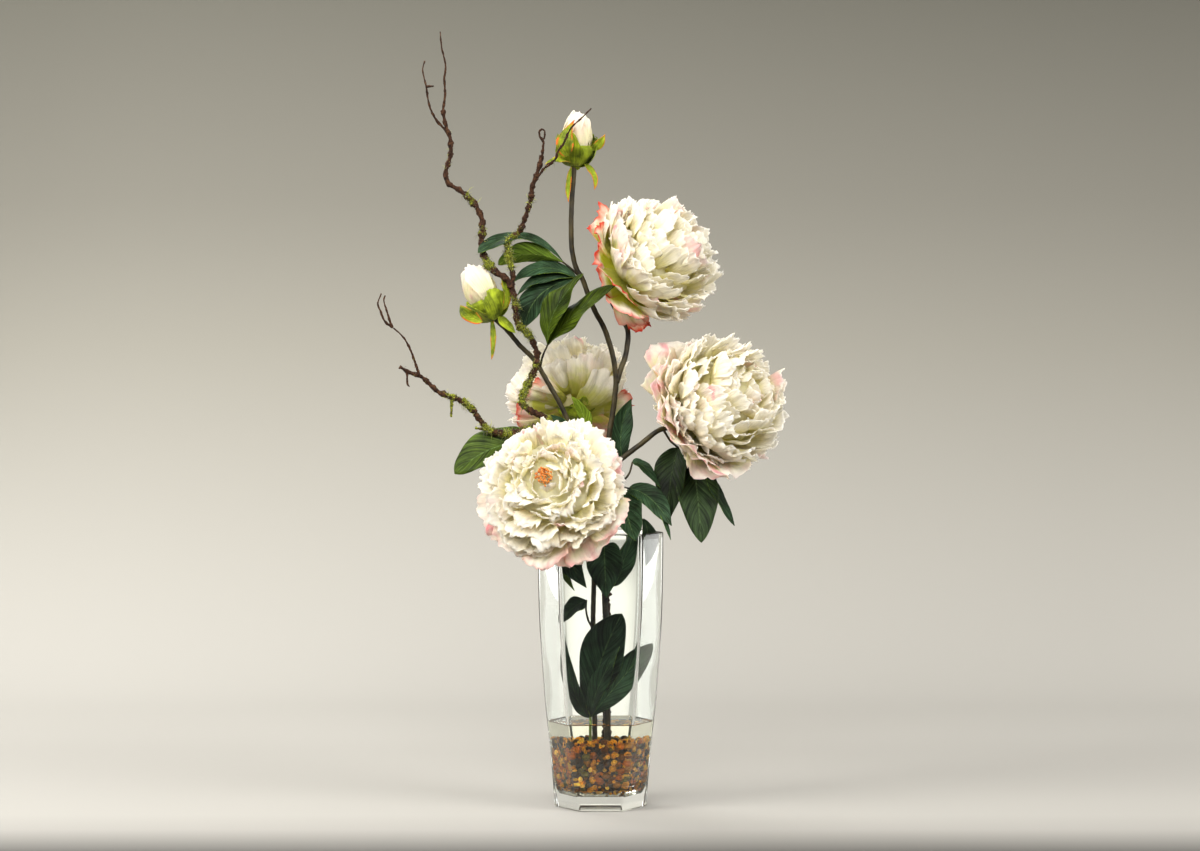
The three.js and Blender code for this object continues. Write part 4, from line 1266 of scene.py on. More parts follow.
@dataclass
class PebbleBed:
    """River pebbles heaped on the vase's floor, large ones first and small ones in the gaps.

    Pebbles fill a shell under what can be seen. Smallest and largest are radii, and small ones
    are the more frequent. Kept ones may overlap as far as closeness says, as a share of the sum
    of their radii.
    """

    seed: int = 5
    tries: int = 9000
    shell: float = 11.0
    smallest: float = 1.5
    largest: float = 4.4
    size_power: float = 1.6
    depth_power: float = 1.5
    floor_gap: float = 0.4
    wall_gap: float = 0.3
    closeness: float = 0.8
    ball_rows: int = 6
    ball_columns: int = 10
    dent: float = 0.09
    core_gap: float = 8.0

    def centres(self, draw: np.random.Generator) -> tuple[np.ndarray, np.ndarray]:
        """Picks places for the pebbles that can be seen.

        Places are drawn at random along the wall, over the floor and over the top. A place is
        kept if the pebble there touches none of the kept ones by more than a fifth.

        Args:
            draw: the random number source.

        Returns:
            The pebbles' centres and radii.
        """
        radius = np.sort(self.smallest + (self.largest - self.smallest) * draw.random(
            self.tries) ** self.size_power)[::-1]
        height = VASE_FLOOR + radius + self.floor_gap + draw.random(self.tries) * (
            PEBBLE_TOP - VASE_FLOOR - 1.3 * radius)
        turn = 2 * np.pi * draw.random(self.tries)
        inset = VASE_WALL + self.wall_gap + radius * 0.95
        width, face, depth = plan_at(height, inset).T
        shrink = cavity_shrink(height - radius)
        cosine, sine = np.abs(np.cos(turn)), np.abs(np.sin(turn))
        slant = 1 / (cosine / width + sine * (width - face) / (width * depth))
        reach = np.minimum(depth / np.maximum(sine, 1e-6), slant) * shrink
        low_or_top = (height < VASE_FLOOR + self.shell) | (height > PEBBLE_TOP - self.shell)
        inward = np.where(
            low_or_top, reach * np.sqrt(draw.random(self.tries)),
            reach - self.shell * draw.random(self.tries) ** self.depth_power)
        places = np.stack([inward * np.cos(turn), inward * np.sin(turn), height], axis=1)
        kept = np.zeros(self.tries, dtype=bool)
        for k in range(self.tries):
            apart = np.linalg.norm(places[kept] - places[k], axis=1)
            kept[k] = np.all(apart > self.closeness * (radius[kept] + radius[k]))
        return places[kept], radius[kept]

    def stones(self) -> Surface:
        """The pebbles: balls of few faces, stretched to three axes, dented and turned at random.

        Returns:
            Closed surfaces, each with a tint of its own.
        """
        draw = np.random.default_rng(self.seed)
        places, radius = self.centres(draw)
        count = len(places)
        rise = np.linspace(0, np.pi, self.ball_rows)[:, None]
        turn = np.linspace(0, 2 * np.pi, self.ball_columns)[None]
        ball = np.stack([
            np.sin(rise) * np.cos(turn), np.sin(rise) * np.sin(turn),
            np.cos(rise) * np.ones_like(turn),
        ], axis=-1)
        axes = np.stack([
            draw.uniform(1.0, 1.25, count), draw.uniform(0.85, 1.05, count),
            draw.uniform(0.6, 0.9, count)], axis=1) * radius[:, None]
        frames = np.linalg.qr(draw.normal(size=(count, 3, 3)))[0]
        dent = 1 + self.dent * np.sin(
            draw.uniform(2, 4, (count, 1, 1)) * ball[None, ..., 0]
            + draw.uniform(0, 6, (count, 1, 1)))
        shaped = ball[None] * axes[:, None, None] * dent[..., None]
        stones = np.einsum("nij,nrcj->nrci", frames, shaped) + places[:, None, None]
        tint = draw.random(count)[:, None, None]
        LOG.info("pebbles: %d", count)
        return Surface.from_grid(stones, tint=tint)

    def core(self) -> Surface:
        """The dark middle of the bed, which no light passes: a block with the vase's plan.

        Its darkest tint is painted shade for the pebbles deep in the bed.

        Returns:
            A closed surface with the darkest tint.
        """
        height = np.array([VASE_FLOOR + 5, VASE_FLOOR + 5, PEBBLE_TOP - 6, PEBBLE_TOP - 6])
        shrink = np.array([1e-6, 1, 1, 1e-6])
        rings = vase_rings(height, np.full(4, VASE_WALL + self.core_gap), shrink, 2.0)
        # The darkest tint paints the shade deep in the bed.
        return Surface.from_grid(rings, tint=0.01)

    def build(self) -> None:
        """Makes the bed."""
        Piece("river_pebbles", Surface.join([self.stones(), self.core()]),
              [Cover.PEBBLE], "pebble", ("pebble_bed",), closed=True).make()


# Stems and branch

TALL_STEM = [
    (7, 24, -3), (7, 69, -3), (7, 107, -3), (6.5, 157, -3), (4.5, 207, -3), (4.5, 247, -2),
    (5.5, 287, 0), (6.5, 337, 2), (8.9, 373.7, 2), (11.9, 391.7, 2), (15, 416.7, 2),
    (15.5, 428.2, 2), (11.9, 452.7, 1), (3.5, 478.7, 0), (-7.1, 498.7, 0), (-19.5, 530.7, 0),
    (-23.5, 536.7, 0), (-28.2, 554.7, 0), (-29.1, 594.7, 0), (-26.5, 634, 0), (-26.2, 641, 0),
]
UPPER_FORK = [
    (16, 424, 2), (19.2, 434.7, 4), (25.3, 452.7, 8), (27.1, 476.7, 12), (20, 491, 15),
    (11.5, 505, 16.5), (11.5, 515, 15.5), (15.5, 520.5, 13.3), (21.8, 524, 11.5),
]
RIGHT_FORK = [
    (7.5, 326.7, 2), (12, 340, 4), (24.5, 350.7, 6), (39.5, 362, 8), (57, 375.7, 9),
    (70, 380, 18), (79, 383.5, 24), (86, 387.5, 24.5), (92.1, 390.5, 18.7),
]
LEFT_STEM = [
    (-5.5, 24, -2), (-5.5, 68.7, -2), (-6.5, 126.7, -2), (-7.5, 181.7, -1), (-6.5, 226.7, 0),
    (-5.5, 276.7, 3), (-12.5, 326.7, 8), (-25.5, 366.7, 10), (-37.8, 397.7, 10),
    (-53.5, 425.7, 9), (-66.9, 447.7, 7), (-80.5, 461.2, 4), (-93.5, 476.7, 0), (-104.5, 487, 0),
    (-108.5, 492, -0.6),
]
BACK_FORK = [
    (-17, 344.7, 9), (-15, 358, 16), (-15, 372, 30), (-18, 384, 45), (-22.6, 394.2, 58.6),
]
FRONT_FORK = [
    (-7, 285, 3), (-12, 298, -3), (-22, 306, -15), (-36, 309.5, -33), (-42.6, 310.6, -44.5),
]
LOW_STEM = [(-10, 24, -9), (-10, 60, -9), (-10, 86, -9)]
MAIN_LIMB = [
    (6, 24, 10), (6, 110, 10), (6, 206, 10), (0, 276, 14), (-20, 330, 20), (-36, 368, 12),
    (-53, 387.7, -4), (-70.9, 396.7, -8), (-78.5, 404.7, -8), (-76, 415.7, -7),
    (-68.5, 430.7, -6), (-63.2, 450.2, -6), (-70.9, 470.7, -8), (-82.7, 483.7, -12),
    (-85.5, 505.7, -14), (-88.5, 519.7, -14), (-87.5, 529.7, -14), (-92.5, 554.7, -14),
    (-92.5, 565.7, -14), (-81.5, 574.7, -16), (-74.7, 590.7, -18), (-69.7, 607.7, -20),
    (-68, 620.7, -22), (-61.5, 638.7, -24), (-58.6, 651, -24),
]
TALL_LIMB = [
    (-88.5, 519.7, -14), (-94.1, 527.7, -14), (-104.7, 534.7, -12), (-113.5, 544.7, -10),
    (-118.5, 558.7, -8), (-118.6, 587.7, -6), (-126.1, 602.7, -5), (-137.7, 614.2, -4),
    (-152.5, 624.2, -3), (-154.5, 634.1, -2), (-150.1, 650.7, 0), (-150.1, 667.7, 0),
    (-154.5, 680.7, 0), (-157.6, 696.3, 0),
]
LOW_LIMB = [
    (-50, 386.5, -1), (-60, 380.5, -2), (-81.1, 374.7, -2), (-100.5, 373.7, -3),
    (-113, 377.7, -4), (-120.5, 386.7, -5), (-128.5, 397.7, -6), (-138.5, 405.7, -7),
    (-151.5, 410.7, -8), (-161.5, 414.7, -8), (-180.5, 431, -9), (-189.5, 433.7, -10),
    (-201, 440, -10),
]
TWIGS = [
    [(-157.6, 694, 0), (-155.1, 712.1, 1), (-155.9, 727, 0), (-154.6, 740.3, -1),
     (-158.5, 758.7, 0), (-160.1, 774.3, 2)],
    [(-152.5, 674, 0), (-164.5, 687.2, -1), (-170.8, 700.7, -2), (-174.2, 720.7, -1),
     (-177.5, 736.7, 0), (-175.5, 745.2, 1)],
    [(-174.2, 719.7, -1), (-166.5, 720.2, -3)],
    [(-68, 620.7, -22), (-56.5, 637.7, -26), (-44.8, 647.7, -29), (-43.2, 653.7, -30),
     (-36.5, 663.7, -31), (-29.9, 677.7, -31), (-18.5, 688.7, -30), (-9.2, 698, -28)],
    [(-111, 377, -4), (-125.5, 378.7, -6)],
    [(-181, 431.5, -9), (-185.7, 445.1, -9), (-189.5, 455.7, -10), (-195.9, 468, -10),
     (-204.8, 477, -9), (-209.9, 480.7, -9)],
    [(-208.5, 479.5, -9), (-213.7, 496.1, -8), (-216.5, 506.7, -7), (-215.2, 511.4, -7)],
    [(-207.5, 479.3, -9), (-215, 484.7, -10), (-220.1, 496.1, -11), (-222.5, 502.7, -11),
     (-219.1, 513.3, -10)],
    [(-193.5, 434.5, -10), (-192.7, 422.1, -10), (-190.8, 420.2, -10)],
    [(-148.7, 409.5, -8), (-149.2, 389.7, -8)],
]
LOOP = [
    (-58.6, 649, -24), (-57.4, 659, -24), (-57.2, 665, -24), (-60.6, 670, -24), (-61, 674.6, -24),
    (-58.4, 677.2, -23.5), (-55.8, 675.2, -23), (-56.2, 667, -23),
]

# The limbs with moss, and how far out the moss starts at each one's start and end.
MOSSY_LIMBS = [
    (MAIN_LIMB, 4.4, 2.3), (TALL_LIMB, 3.6, 2.0), (LOW_LIMB, 3.7, 2.0), (TWIGS[3], 1.1, 0.7),
    (TWIGS[5], 1.1, 0.7),
]


@dataclass
class FlowerStems:
    """The coated wire stems, each forked stem one piece."""

    spacing: float = 2.4
    sides: int = 12
    bumps: float = 0.05

    def stem(self, points: list, start: float, end: float, seed: int) -> Surface:
        """One smooth stem along points read from the front, with a radius at each of its ends."""
        route, _ = spaced_route(points, self.spacing, 6)
        return tube(route, np.linspace(start, end, len(route)), self.sides, self.bumps, seed)

    def build(self) -> None:
        """Makes the three stems, each with its forks."""
        for name, node, cover, slot, forks in (
            ("flower_stem_tall", "stem_tall", Cover.STEM, "stem", (
                (TALL_STEM, 3.2, 2.4, 1), (UPPER_FORK, 2.8, 2.4, 2), (RIGHT_FORK, 2.8, 2.4, 3))),
            ("flower_stem_left", "stem_left", Cover.STEM, "stem", (
                (LEFT_STEM, 2.6, 2.4, 4), (BACK_FORK, 2.4, 2.4, 5), (FRONT_FORK, 2.4, 2.4, 6))),
            ("leaf_stem_low", "stem_low", Cover.GREEN_STEM, "green_stem", (
                (LOW_STEM, 1.4, 1.4, 7),)),
        ):
            stems = Surface.join([self.stem(*fork) for fork in forks])
            Piece(name, stems, [cover], slot, (node,), closed=True).make()


@dataclass
class CurlyBranch:
    """The contorted branch with its twigs, and the moss tied along it.

    Knots come once in a spacing and swell the limb by a share of its radius. Bumps are a finer
    wave, and crumbs are random steps of the skin that are rougher where it is mossy.
    """

    spacing: float = 1.1
    knot_pace: float = 5.5
    knot_above: float = 0.75
    knot_swell: float = 0.9
    bump_pace: float = 1.7
    bump_swell: float = 0.12
    bumps: float = 0.16
    moss_thickness: float = 0.7
    moss_spacing: float = 0.6
    crumbs: float = 0.08
    moss_crumbs: float = 0.16
    tufts: int = 1180
    fibres: int = 5
    droop: float = -0.25
    seed: int = 9

    def limb(self, points: list, start: float, end: float, sides: int, seed: int) -> Surface:
        """One knobbly limb.

        Its radius swells at knots, which are narrow peaks of a slow wave along the limb.

        Args:
            points: its route as read from the front.
            start: its radius at the start.
            end: its radius at the end.
            sides: points round it.
            seed: for the knots and bumps.

        Returns:
            A closed surface, with its moss mark.
        """
        draw = np.random.default_rng(seed)
        route, length = spaced_route(points, self.spacing, 8)
        count = len(route)
        at = np.linspace(0, length, count)
        knots = np.maximum(0, np.sin(at / self.knot_pace + draw.uniform(0, 6)) - self.knot_above)
        radii = np.linspace(start, end, count) * (1 + self.knot_swell * knots)
        radii += self.bump_swell * start * np.sin(at / self.bump_pace + draw.uniform(0, 6))
        moss = self.mossiness(route)
        radii = radii + self.moss_thickness * moss
        skin = tube(route, radii, sides, self.bumps, seed, moss=moss)
        centre = np.repeat(np.concatenate([route[:1], route, route[-1:]]), sides + 1, axis=0)
        crumbs = draw.normal(0, 1, (count + 2, sides))
        crumbs = np.concatenate([crumbs, crumbs[:, :1]], axis=1).ravel()
        away = skin.points - centre
        size = self.crumbs + self.moss_crumbs * skin.marks["moss"]
        skin.points = skin.points + away * (crumbs * size)[:, None].clip(-0.3, 0.5)
        return skin

    def mossiness(self, route: np.ndarray) -> np.ndarray:
        """How much moss grows along a route: thick patches low down, hardly any on the tips.

        Two slow waves over the height and the width make the patches.

        Args:
            route: samples along a limb.

        Returns:
            A share from nought to one for each sample.
        """
        x, _, z = route.T
        patches = (
            0.5 + 0.4 * np.sin(z / 11.0 + 1.0) * np.sin(x / 17.0 + 0.5) + 0.3 * np.sin(z / 5.3)
            + 0.25 * np.sin(x / 3.1))
        fade = np.clip((700 - z) / 160, 0, 1) * np.clip((x + 200) / 60, 0, 1)
        above_vase = np.clip((z - 300) / 60, 0, 1)
        return np.clip(patches, 0, 1) * fade * above_vase

    def moss(self) -> Surface:
        """Tufts of frayed fibres, thickest where the branch is most mossy.

        Each fibre is a thin three-sided spindle from a root in the bark over a knee to its tip.
        It leans away from the square to the limb by random amounts, and its tip droops.

        Returns:
            Closed surfaces, each with a tint of its own.
        """
        draw = np.random.default_rng(self.seed)
        routes = [spaced_route(points, self.moss_spacing)[0] for points, _, _ in MOSSY_LIMBS]
        route = np.concatenate(routes)
        radius = np.concatenate([
            np.linspace(start, end, len(r)) for r, (_, start, end) in zip(routes, MOSSY_LIMBS)])
        tangent = np.concatenate([unit(np.gradient(r, axis=0)) for r in routes])
        weight = self.mossiness(route) ** 2
        picked = draw.choice(len(route), self.tufts, p=weight / weight.sum())
        where = np.repeat(picked, self.fibres)
        count = len(where)
        along = tangent[where]
        out = draw.normal(size=(count, 3))
        out = unit(out - (out * along).sum(axis=1, keepdims=True) * along)
        lean = unit(out + draw.normal(scale=0.75, size=(count, 3)) + along * draw.normal(
            scale=0.8, size=(count, 1)))
        length = draw.gamma(2.4, 0.86, count)[:, None]
        droop = np.array([0, 0, self.droop])
        root = route[where] + out * radius[where][:, None] * 0.8 + along * draw.normal(
            scale=1.0, size=(count, 1))
        knee = root + (0.7 * out + 0.5 * lean) * length * 0.6
        tip = knee + (lean + droop) * length * 0.7
        side = unit(np.cross(lean, draw.normal(size=(count, 3))))
        third = np.cross(unit(lean), side)
        turn = np.radians([0, 120, 240, 360])
        circle = (
            np.cos(turn)[None, :, None] * side[:, None]
            + np.sin(turn)[None, :, None] * third[:, None])
        thick = draw.uniform(0.1, 0.26, (count, 1, 1, 1)) * np.array(
            [0.0, 1.0, 0.8, 0.0])[None, :, None, None]
        middle = np.stack([root, root, knee, tip], axis=1)
        grid = middle[:, :, None] + thick * circle[:, None]
        tint = np.clip(draw.normal(0.55, 0.3, count), 0, 1)[:, None, None]
        return Surface.from_grid(grid, tint=tint)

    def build(self) -> None:
        """Makes the branch and its moss."""
        limbs = [
            self.limb(MAIN_LIMB, 4.0, 2.0, 14, 21), self.limb(TALL_LIMB, 3.3, 1.7, 14, 22),
            self.limb(LOW_LIMB, 3.4, 1.7, 14, 23),
        ]
        twigs = [self.limb(twig, 1.35, 0.6, 7, 30 + k) for k, twig in enumerate(TWIGS + [LOOP])]
        Piece("curly_branch", Surface.join(limbs + twigs), [Cover.BARK], "bark",
              ("branch_curly",), closed=True).make()
        Piece("branch_moss", self.moss(), [Cover.MOSS], "bark", closed=True).make()


# Leaves


@dataclass
class Blade:
    """One leaf: its middle line from base to tip, its width, and where its upper side looks."""

    base: tuple[float, float, float]
    middle: tuple[float, float, float]
    tip: tuple[float, float, float]
    width: float
    face: tuple[float, float, float]
    fold: float = 0.28
    wave: float = 1.3
    peak: float = 0.45
    olive: float = 0.0
    coral: float = 0.0
    # How bright the leaf is drawn: below one is painted shade for a leaf that lies in shade.
    tone: float = 1.0
    taper: float = 1.7
    veins: int = 8
    vein_slant: float = 0.34
    vein_height: float = 0.42
    rows: int = 38
    columns: int = 16

    def surface(self, seed: int) -> Surface:
        """The leaf's sheet.

        The middle line is a quadratic curve. The half width is a product of powers of the
        distances from base and tip, widest at the peak and drawn out to a sharp tip, with slow
        waves in each margin. Both halves are folded up from the middle line, the edges wave, and
        pleats slant forward from the midrib along the side veins.

        Args:
            seed: for the waves.

        Returns:
            An open sheet whose faces look where the upper side looks.
        """
        draw = np.random.default_rng(seed)
        start, through, end = seen([self.base, self.middle, self.tip])
        control = 2 * through - (start + end) / 2
        u = np.linspace(0, 1, self.rows + 1)[:, None]
        v = np.linspace(-1, 1, self.columns + 1)[None]
        line = bezier(start, control, end, u)
        along = unit(np.gradient(line, axis=0))
        side = unit(np.cross(along, unit(np.array(self.face, dtype=float))))
        normal = np.cross(side, along)
        outline = (u / self.peak) ** (self.taper * self.peak) * (
            (1 - u) / (1 - self.peak)) ** (self.taper * (1 - self.peak))
        phase = draw.uniform(0, 6, 6)
        margin = 1 + 0.08 * np.abs(v) * np.sin(9 * u + np.where(v > 0, phase[2], phase[3]))
        half = np.maximum(self.width / 2 * outline, 0.25) * margin
        edge_wave = self.wave * v ** 2 * (
            np.sin(8 * u + v + phase[0]) + 0.5 * np.sin(15 * u - 2 * v + phase[1]))
        swell = 0.8 * np.sin(5 * u + 2.5 * v + phase[4]) * np.abs(v)
        fold = self.fold * half * (np.sqrt(v ** 2 + 0.008) - 0.09)
        cycle = self.veins * (u - self.vein_slant * np.abs(v) ** 1.2)
        pleats = self.vein_height * np.sin(2 * np.pi * cycle + phase[5]) * np.minimum(
            1, 5 * np.abs(v)) * (1 - 0.6 * v ** 2)
        firm = np.minimum(1, half / 7)
        lift = fold + (edge_wave + swell + pleats) * firm
        grid = line[:, None] + (v * half)[..., None] * side[:, None] + lift[..., None] * normal[
            :, None]
        edge = np.maximum(np.abs(v) ** 2, u ** 4)
        return Surface.from_grid(
            grid, Side.BACK, olive=self.olive, coral=self.coral, edge=edge, tone=self.tone)


@dataclass
class LeafSpray:
    """A spray of leaves on its stalks."""

    name: str
    node: str
    seed: int
    stalks: list
    blades: list[Blade]
    green: bool = False
    thickness: float = 0.5
    stalk_radii: tuple[float, float] = (1.2, 0.9)
    stalk_sides: int = 8
    stalk_bumps: float = 0.08

    def build(self) -> None:
        """Makes the blades as one piece and the stalks, which start in the stem, as another."""
        blades = Surface.join([
            blade.surface(self.seed + k) for k, blade in enumerate(self.blades)])
        Piece(self.name, blades, [Cover.LEAF, Cover.LEAF_UNDER], "leaf",
              (self.node,), thickness=self.thickness).make()
        stalks = []
        for k, points in enumerate(self.stalks):
            route = smooth_path(seen(points), 6 * len(points))
            radii = np.linspace(*self.stalk_radii, len(route))
            stalks.append(
                tube(route, radii, self.stalk_sides, self.stalk_bumps, self.seed + 50 + k))
        finish = Cover.GREEN_STEM if self.green else Cover.STEM
        Piece(self.name + "_stalks", Surface.join(stalks), [finish], "leaf", closed=True).make()


# Every spray from the top down: its piece, its node, a seed, its stalks and its blades.
LEAF_SPRAYS = [
    LeafSpray("leaf_spray_upper", "leaves_upper", 100, [
        [(-20, 529, -4.6), (-28, 537, -7), (-38, 545, -7)],
        [(-20, 529, -4.6), (-26, 529, -5)],
    ], [
        Blade((-36, 543.4, -7), (-76, 569.5, -9), (-122.5, 553.7, -14), 17, (-0.2, -0.65, 0.7),
              peak=0.74),
        Blade((-37, 544.2, -7), (-73, 552.5, -2), (-102, 541.7, 0), 24, (0, 0.75, 0.65),
              peak=0.6),
        Blade((-24, 529, -5), (-58, 538.5, -3), (-88, 523.7, -2), 18, (-0.1, -0.7, 0.7)),
        Blade((-23, 529, -5), (-57, 529, -3), (-83, 511.7, -3), 14, (0, -0.7, 0.7)),
        Blade((-23, 529, -5), (-60, 512, -3), (-75, 480, -2), 31, (-0.35, -0.8, 0.5),
              peak=0.55),
    ]),
    LeafSpray("leaf_spray_middle", "leaves_middle", 110, [
        [(-60.5, 438.7, 8), (-58, 450, -4), (-52.5, 462.7, -17)],
    ], [
        Blade((-53, 462, -17), (-45, 497, -25), (-17, 533, -27), 27, (-0.6, -0.7, 0.3),
              olive=0.9, peak=0.55, wave=3.2, tone=0.62),
        Blade((-53, 461, -16), (-25, 493, -29), (15, 521.5, -42), 25, (-0.3, -0.75, 0.6),
              olive=1.0, peak=0.5, wave=3.2, tone=0.5),
    ]),
    LeafSpray("leaf_spray_left", "leaves_left", 120, [
        [(-22, 357, 8), (-34, 361, 1), (-52, 362, 0), (-72, 362, 0)],
    ], [
        Blade((-60, 362, 0), (-103.5, 360, -4), (-146, 333, -6), 42, (-0.3, -0.8, 0.5),
              olive=0.75, peak=0.55, wave=2.4, tone=0.75),
        Blade((-50, 362, 0), (-66, 365, 2), (-94, 362, 4), 14, (0, 0, 1)),
        Blade((-70, 362, 0), (-95, 345, 6), (-118, 318, 8), 16, (-0.4, -0.8, 0.4)),
        Blade((-30, 360, 3), (-36, 378, -2), (-50, 392, -4), 13, (-0.4, -0.7, 0.5)),
        Blade((-16, 368, 5), (-17, 391, 0), (-29, 410, -2), 14, (0.4, 0.9, 0.2), olive=1.0),
    ]),
    LeafSpray("leaf_tall_behind", "leaf_tall", 130, [
        [(14, 338, 4), (20, 343, 12), (23, 350, 16)],
    ], [
        Blade((22, 346, 15), (21, 378, 18), (31, 408, 20), 21, (0.2, -0.9, 0.3)),
    ]),
    LeafSpray("leaf_spray_right", "leaves_right", 140, [
        [(7, 318, 2), (18, 320, -8), (30, 318, -14)],
        [(14, 319, -6), (28, 332, -6), (32, 345, -4)],
    ], [
        Blade((32, 344, -4), (43, 340, -6), (60, 319, -8), 12, (0.3, -0.8, 0.5)),
        Blade((28, 318, -13), (50, 308, -22), (71, 281, -24), 26, (0.2, -0.8, 0.5)),
        Blade((20, 319.7, -9.3), (26, 293, -40), (35, 266, -66), 33, (0.1, -0.75, 0.65)),
        Blade((29, 318, -13.5), (56, 296, -20), (70, 267, -30), 11, (0.6, -0.3, 0.7)),
    ]),
    LeafSpray("leaf_spray_hanging", "leaves_hanging", 150, [
        [(63, 377, 13), (70, 366, 14), (78, 359, 15), (92, 350, 16), (104, 338, 16)],
    ], [
        Blade((78, 359, 15), (70, 324, 4), (66, 277, -4), 33, (-0.3, -0.9, 0.2), peak=0.36,
              olive=0.3, tone=0.3),
        Blade((92, 350, 16), (97, 312, 6), (101, 264, -8), 41, (0.1, -0.95, 0.2), peak=0.5,
              olive=0.25, tone=0.5),
        Blade((104, 338, 16), (120, 306, 4), (134, 281, -6), 13, (0.5, -0.8, 0.2), tone=0.6),
    ]),
    LeafSpray("leaf_spray_mouth", "leaves_mouth", 160, [
        [(5, 205, -3), (7.5, 212, -8), (8, 222, -11), (8, 240, -12), (4, 262, -20)],
        [(8, 240, -12), (-3, 254, -16), (-14, 262, -18)],
        [(8, 235, -11.8), (24, 262, -8), (43, 288, -8)],
    ], [
        Blade((-14, 262, -18), (-30, 250, -28), (-14, 219, -34), 27, (-0.2, -0.9, 0.3)),
        Blade((4, 262, -20), (4, 246, -34), (6, 209, -38), 37, (0, -0.9, 0.4)),
        Blade((8, 221, -11), (22, 244, -16), (36, 282, -20), 25, (0.5, -0.8, -0.2)),
        Blade((43, 288, -8), (48, 266, -8), (43.5, 241, -6), 15, (0.3, -0.9, 0.3)),
        Blade((-14, 262, -18), (-38, 248, -16), (-26, 216, -12), 14, (0.3, 0.9, 0.2)),
    ]),
    LeafSpray("leaf_small_oval", "leaf_small", 170, [
        [(-7.5, 178, -1), (-12, 186, -6), (-14.5, 197, -8), (-14, 207, -9)],
    ], [
        Blade((-14, 206, -9), (-28, 198, -12), (-40, 184, -14), 19, (-0.2, -0.8, 0.6),
              tone=0.5),
    ]),
    LeafSpray("leaf_spray_low", "leaves_low", 180, [
        [(-10, 86, -9), (-10.6, 90, -9.6), (-11, 96, -11)],
    ], [
        Blade((-10.6, 89, -9.5), (-1, 141, -14), (21.5, 193, -18), 43, (-0.2, -0.95, 0.1),
              peak=0.6, tone=0.45),
        Blade((-10.6, 89, -9.5), (-1, 122, -22), (19, 160, -26), 19, (-0.4, -0.85, 0.3),
              tone=0.7),
        Blade((-10.6, 89, -9.5), (-27, 118, -17), (-36.5, 172, -18), 16, (-0.5, -0.85, 0.1),
              tone=0.5),
        Blade((-10.6, 89, -9.5), (19, 125, -18), (50.5, 163, -4), 27, (0.2, -0.95, 0.2),
              peak=0.55),
    ], green=True),
]


# Flowers


@dataclass(frozen=True)
class PetalStyle:
    """How a group of petals is formed.

    Angles are degrees from the flower's axis and lengths are shares of its radius. Of two values,
    the first is for the petals furthest back and the second for those nearest the axis. Opened
    petals are turned about their middle lines, so that those at the sides show their faces.
    Layered says how much nearer to the heart the last petal lies than the first.
    """

    count: int
    tips: tuple[float, float]
    lean: tuple[float, float]
    half: tuple[float, float]
    root: float = 0.5
    reach: float = 1.0
    bulge: float = 0.0
    scatter: float = 9.0
    sway: float = 8.0
    ragged: float = 0.05
    flute: float = 0.03
    notch: float = 0.13
    cup: float = 0.3
    curl: float = 0.0
    coral: float = 0.0
    rosy: float = 0.0
    green: float = 0.0
    twist: float = 0.5
    stray: float = 0.35
    opened: float = 0.0
    layered: float = 0.0
    pinch: float = 0.0
    rounding: float = 0.2
    fray: float = 0.03
    whiteness: float = 0.0
    sector: tuple[float, float] = (0.0, 0.0)
    rows: int = 10
    columns: int = 22


